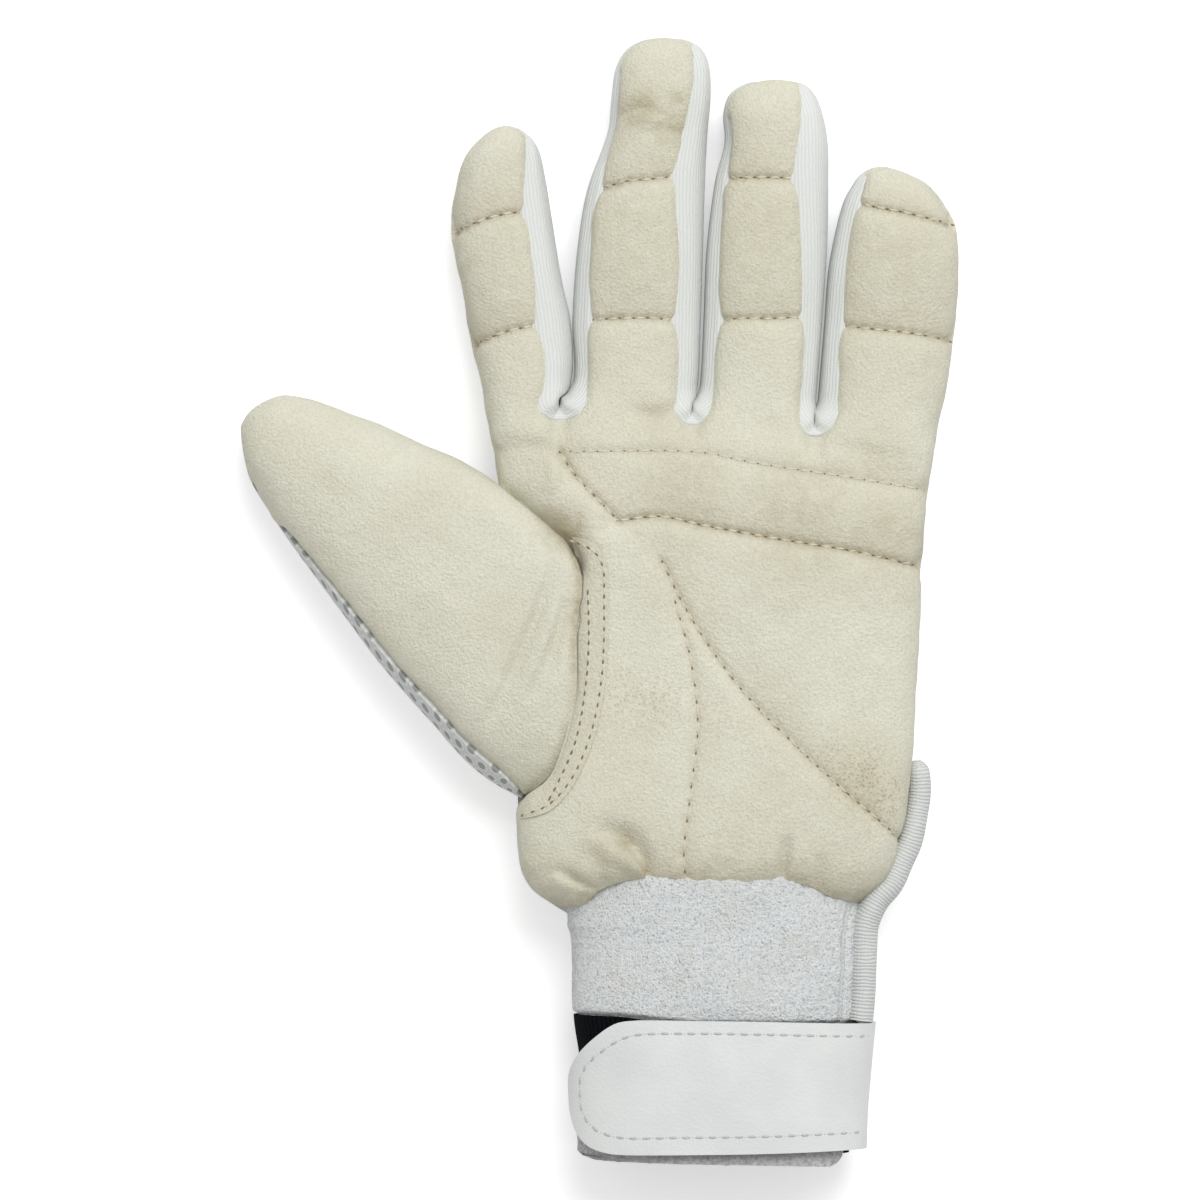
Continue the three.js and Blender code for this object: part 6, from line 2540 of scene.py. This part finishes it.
    def strap(self) -> None:
        """Builds the strap, its stitches and the hook patch under its end."""
        ends = STRAP_LEFT_END.at(np.linspace(0.0, STRAP_LEFT_END.last, STRAP_GRID[0]))
        turn = np.linspace(0.0, 1.0, STRAP_GRID[1])
        middle, half = ends[:, 1].mean(), np.ptp(ends[:, 1]) / 2
        t = HAND.at_y(ends[:, 1])
        left = wrist_angle(t, ends[:, 0], STRAP_LIFT)[:, None]
        angles = left + (ROOT_ANGLE - left) * turn
        slack = ROOT_SLACK + (1.0 - ROOT_SLACK) * rise(angles, *ROOT_TURN)
        points = HAND.point(t[:, None], angles, -STRAP_LIFT * slack)
        taper = smooth(turn * STRAP_TAPER)
        points[..., 1] = middle + (points[..., 1] - middle) * (1.0 - STRAP_DROOP / half * taper)
        piece = grid_sheet("strap_coated", points)
        uneven(piece, self.strap_wave)
        surface = surface_of(piece)
        thicken(piece, STRAP, self.strap_angle)
        dress(piece, self.finishes.strap, "strap", "strap_root", "strap_tab")
        STRAP_FOLD.bend(piece)
        stitching = Stitching(self.finishes, surface, radius=self.strap_stitch)
        STRAP_FOLD.bend(stitching.build("strap_thread", [self.border(points)], white=True))
        self.hook()

    def border(self, points: Array) -> Seam:
        """Lays out the stitches inside the edge of the strap.

        Args:
            points: places of the strap.

        Returns:
            Their line, as seen from above.
        """
        low, high = points[0, :, :2], points[-1, :, :2]
        last = int(points.shape[1] * BORDER_SHARE)
        first_low, first_high = BORDER_STARTS
        left_end = STRAP_LEFT_END.at(np.linspace(0.0, STRAP_LEFT_END.last, BORDER_POINTS))
        inner = left_end + (STRAP_RIM, 0.0)
        off = inner[:, 1] - left_end[:, 1].mean()
        inner[:, 1] -= np.where(off > 0, STRAP_RIM, STRAP_BORDER) * off / STRAP_HALF
        bottom = [tuple(low[k] + (0.0, STRAP_BORDER)) for k in range(last, first_low, -BORDER_STEP)]
        top = [tuple(high[k] - (0.0, STRAP_RIM)) for k in range(first_high, last + 1, BORDER_STEP)]
        return Seam("border", [*bottom, *map(tuple, inner[1:-1]), *top], pitch=3.0, hole=0.6)

    def hook(self) -> None:
        """Builds the hook patch under the end of the strap."""
        y = np.linspace(*HOOK_ENDS, HOOK_GRID[0])
        points = HAND.point(HAND.at_y(y)[:, None], np.linspace(*HOOK_ANGLES, HOOK_GRID[1]), -HOOK_LIFT)
        piece = grid_sheet("hook_patch_tape", points)
        thicken(piece, HOOK)
        dress(piece, self.finishes.hook, "hook", "hook_patch")
        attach(piece, "strap")

    def binding(self) -> None:
        """Builds the ribbed roll along the outer side of the heel and cuff."""
        path = BINDING_LINE.spaced(self.binding_pitch)
        share = np.linspace(0.0, 1.0, len(path))
        first, final = self.binding_half
        start, end = self.binding_level
        widening, climbing = self.binding_runs
        tip = np.clip(share / self.binding_tip, self.binding_tip, 1.0)
        rounding = np.sqrt(np.clip(1.0 - (1.0 - tip) ** 2, self.binding_tip, 1.0))
        width = (first + (final - first) * rise(share, 0.0, widening)) * rounding
        level = start + (end - start) * rise(share, 0.0, climbing)
        way = np.gradient(path, axis=0)
        way /= np.linalg.norm(way, axis=1, keepdims=True)
        side = np.column_stack([-way[:, 1], way[:, 0]])
        turn = np.radians(np.linspace(0.0, 360.0, self.binding_columns, endpoint=False))
        ring = np.zeros((len(path), len(turn), 3))
        ring[..., :2] = path[:, None] + side[:, None] * (np.cos(turn) * width[:, None])[..., None]
        ring[..., 2] = level[:, None] + self.binding_rise * np.sin(turn) * (width / width.max())[:, None]
        piece = grid_sheet("edge_binding_rib", ring[::-1], closed=True)
        uneven(piece, self.binding_wave)
        with editing(piece):
            bpy.ops.mesh.fill_holes(sides=0)
            bpy.ops.mesh.normals_make_consistent(inside=False)
        shade(piece)
        dress(piece, self.finishes.binding_rib, "binding_rib", "edge_binding")
        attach(piece, "palm")


BUMP_REPEAT = 64  # the scatter repeats after this many loops
BUMP_CENTRE = (0.15, 0.7)  # least place of a loop in its cell, and its scatter, in loop distances
BUMP_RADIUS = (0.5, 0.25)  # the same for its radius
BUMP_HEIGHT = (0.6, 0.4)  # and for its height, of 1


def bumps(places_flat: Array, size: float, seed: int) -> Array:
    """Gives heights of loops scattered over a plane.

    Args:
        places_flat: plan places in millimetres, (n, 2).
        size: distance from loop to loop.
        seed: choice of the scatter.

    Returns:
        Heights of 0 to 1.
    """
    cells = np.floor(places_flat / size).astype(int)
    best = np.zeros(len(places_flat))
    chance = np.random.default_rng(seed)
    table = chance.uniform(0.0, 1.0, (BUMP_REPEAT, BUMP_REPEAT, 3))
    for dx, dy in np.ndindex(3, 3):
        near = cells + (dx - 1, dy - 1)
        rolls = table[near[:, 0] % BUMP_REPEAT, near[:, 1] % BUMP_REPEAT]
        centre = (near + BUMP_CENTRE[0] + BUMP_CENTRE[1] * rolls[:, :2]) * size
        radius, height = (least + more * rolls[:, 2] for least, more in (BUMP_RADIUS, BUMP_HEIGHT))
        gap = np.linalg.norm(places_flat - centre, axis=1) / (size * radius)
        best = np.maximum(best, np.sqrt(np.maximum(1.0 - gap**2, 0.0)) * height)
    return best


FRAME_WIDTH = 0.276  # what the picture shows of the plane of the glove
LENS = 300.0
SENSOR = 36.0
EYE = (0.00037, 0.00004)
GLOVE_LEVEL = 0.016


@dataclass(frozen=True)
class Studio:
    """White floor, soft light and a camera straight above."""

    sky: float = 0.55
    key: float = 56.0
    key_place: tuple[float, float, float] = (0.5, 1.5, 2.4)
    key_size: float = 1.6
    floor_size: float = 6.0
    floor_drop: float = 0.0004  # the floor lies this far below the glove
    floor_tone: float = 0.86
    glow: float = 0.42  # of the floor, for the camera alone
    far: float = 20.0  # the camera sees this far

    def build(self) -> None:
        """Builds the floor, the lights and the camera."""
        self.floor()
        self.light()
        self.camera()

    def floor(self) -> None:
        """Builds the white floor, which keeps the shadow of the glove."""
        bpy.ops.object.select_all(action="DESELECT")
        bpy.ops.mesh.primitive_plane_add(size=self.floor_size, location=(0.0, 0.0, 0.0))
        floor = bpy.context.object
        floor.name = "floor"
        move_to(floor, places(floor) - (0.0, 0.0, self.floor_drop))
        material, graph, shader = new_finish("floor")
        seen = graph.node("LightPath").outputs["Is Camera Ray"]
        glow = graph.math("MULTIPLY", seen, self.glow)
        graph.set(shader, {
            "Base Color": (self.floor_tone, self.floor_tone, self.floor_tone, 1.0),
            "Roughness": 0.9,
            "Specular IOR Level": 0.0,
            "Emission Color": (1.0, 1.0, 1.0, 1.0),
            "Emission Strength": glow,
        })
        floor.data.materials.append(material)

    def light(self) -> None:
        """Sets a white sky and one wide soft lamp from the side of the finger tips."""
        scene = bpy.context.scene
        scene.view_settings.view_transform = "Standard"
        world = bpy.data.worlds.new("studio")
        world.use_nodes = True
        back = world.node_tree.nodes["Background"]
        back.inputs["Color"].default_value = (1.0, 1.0, 1.0, 1.0)
        back.inputs["Strength"].default_value = self.sky
        scene.world = world
        bpy.ops.object.light_add(type="AREA", location=self.key_place)
        lamp = bpy.context.object
        lamp.name = lamp.data.name = "key"
        lamp.data.size = self.key_size
        lamp.data.energy = self.key
        lamp.rotation_euler = (-Vector(lamp.location)).to_track_quat("-Z", "Y").to_euler()

    def camera(self) -> None:
        """Sets the camera."""
        data = bpy.data.cameras.new("camera")
        data.lens, data.sensor_width = LENS, SENSOR
        data.clip_end = self.far
        eye = bpy.data.objects.new("camera", data)
        bpy.context.scene.collection.objects.link(eye)
        eye.location = (*EYE, FRAME_WIDTH * LENS / SENSOR + GLOVE_LEVEL)
        bpy.context.scene.camera = eye


def main() -> None:
    """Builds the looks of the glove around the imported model."""
    logging.basicConfig(level=logging.INFO, format="%(name)s: %(message)s")
    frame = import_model()
    LOG.info("model: %d nodes", len(frame["nodes"]))
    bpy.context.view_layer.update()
    finishes = Finishes()
    cover = PaddedCover(finishes)
    cover.build()
    KnitSides(finishes).build()
    MeshBack(finishes).build()
    ThumbBack(finishes).build(cover.pieces["palm_cover"])
    Wrist(finishes).build()
    Studio().build()


if __name__ == "__main__":
    main()
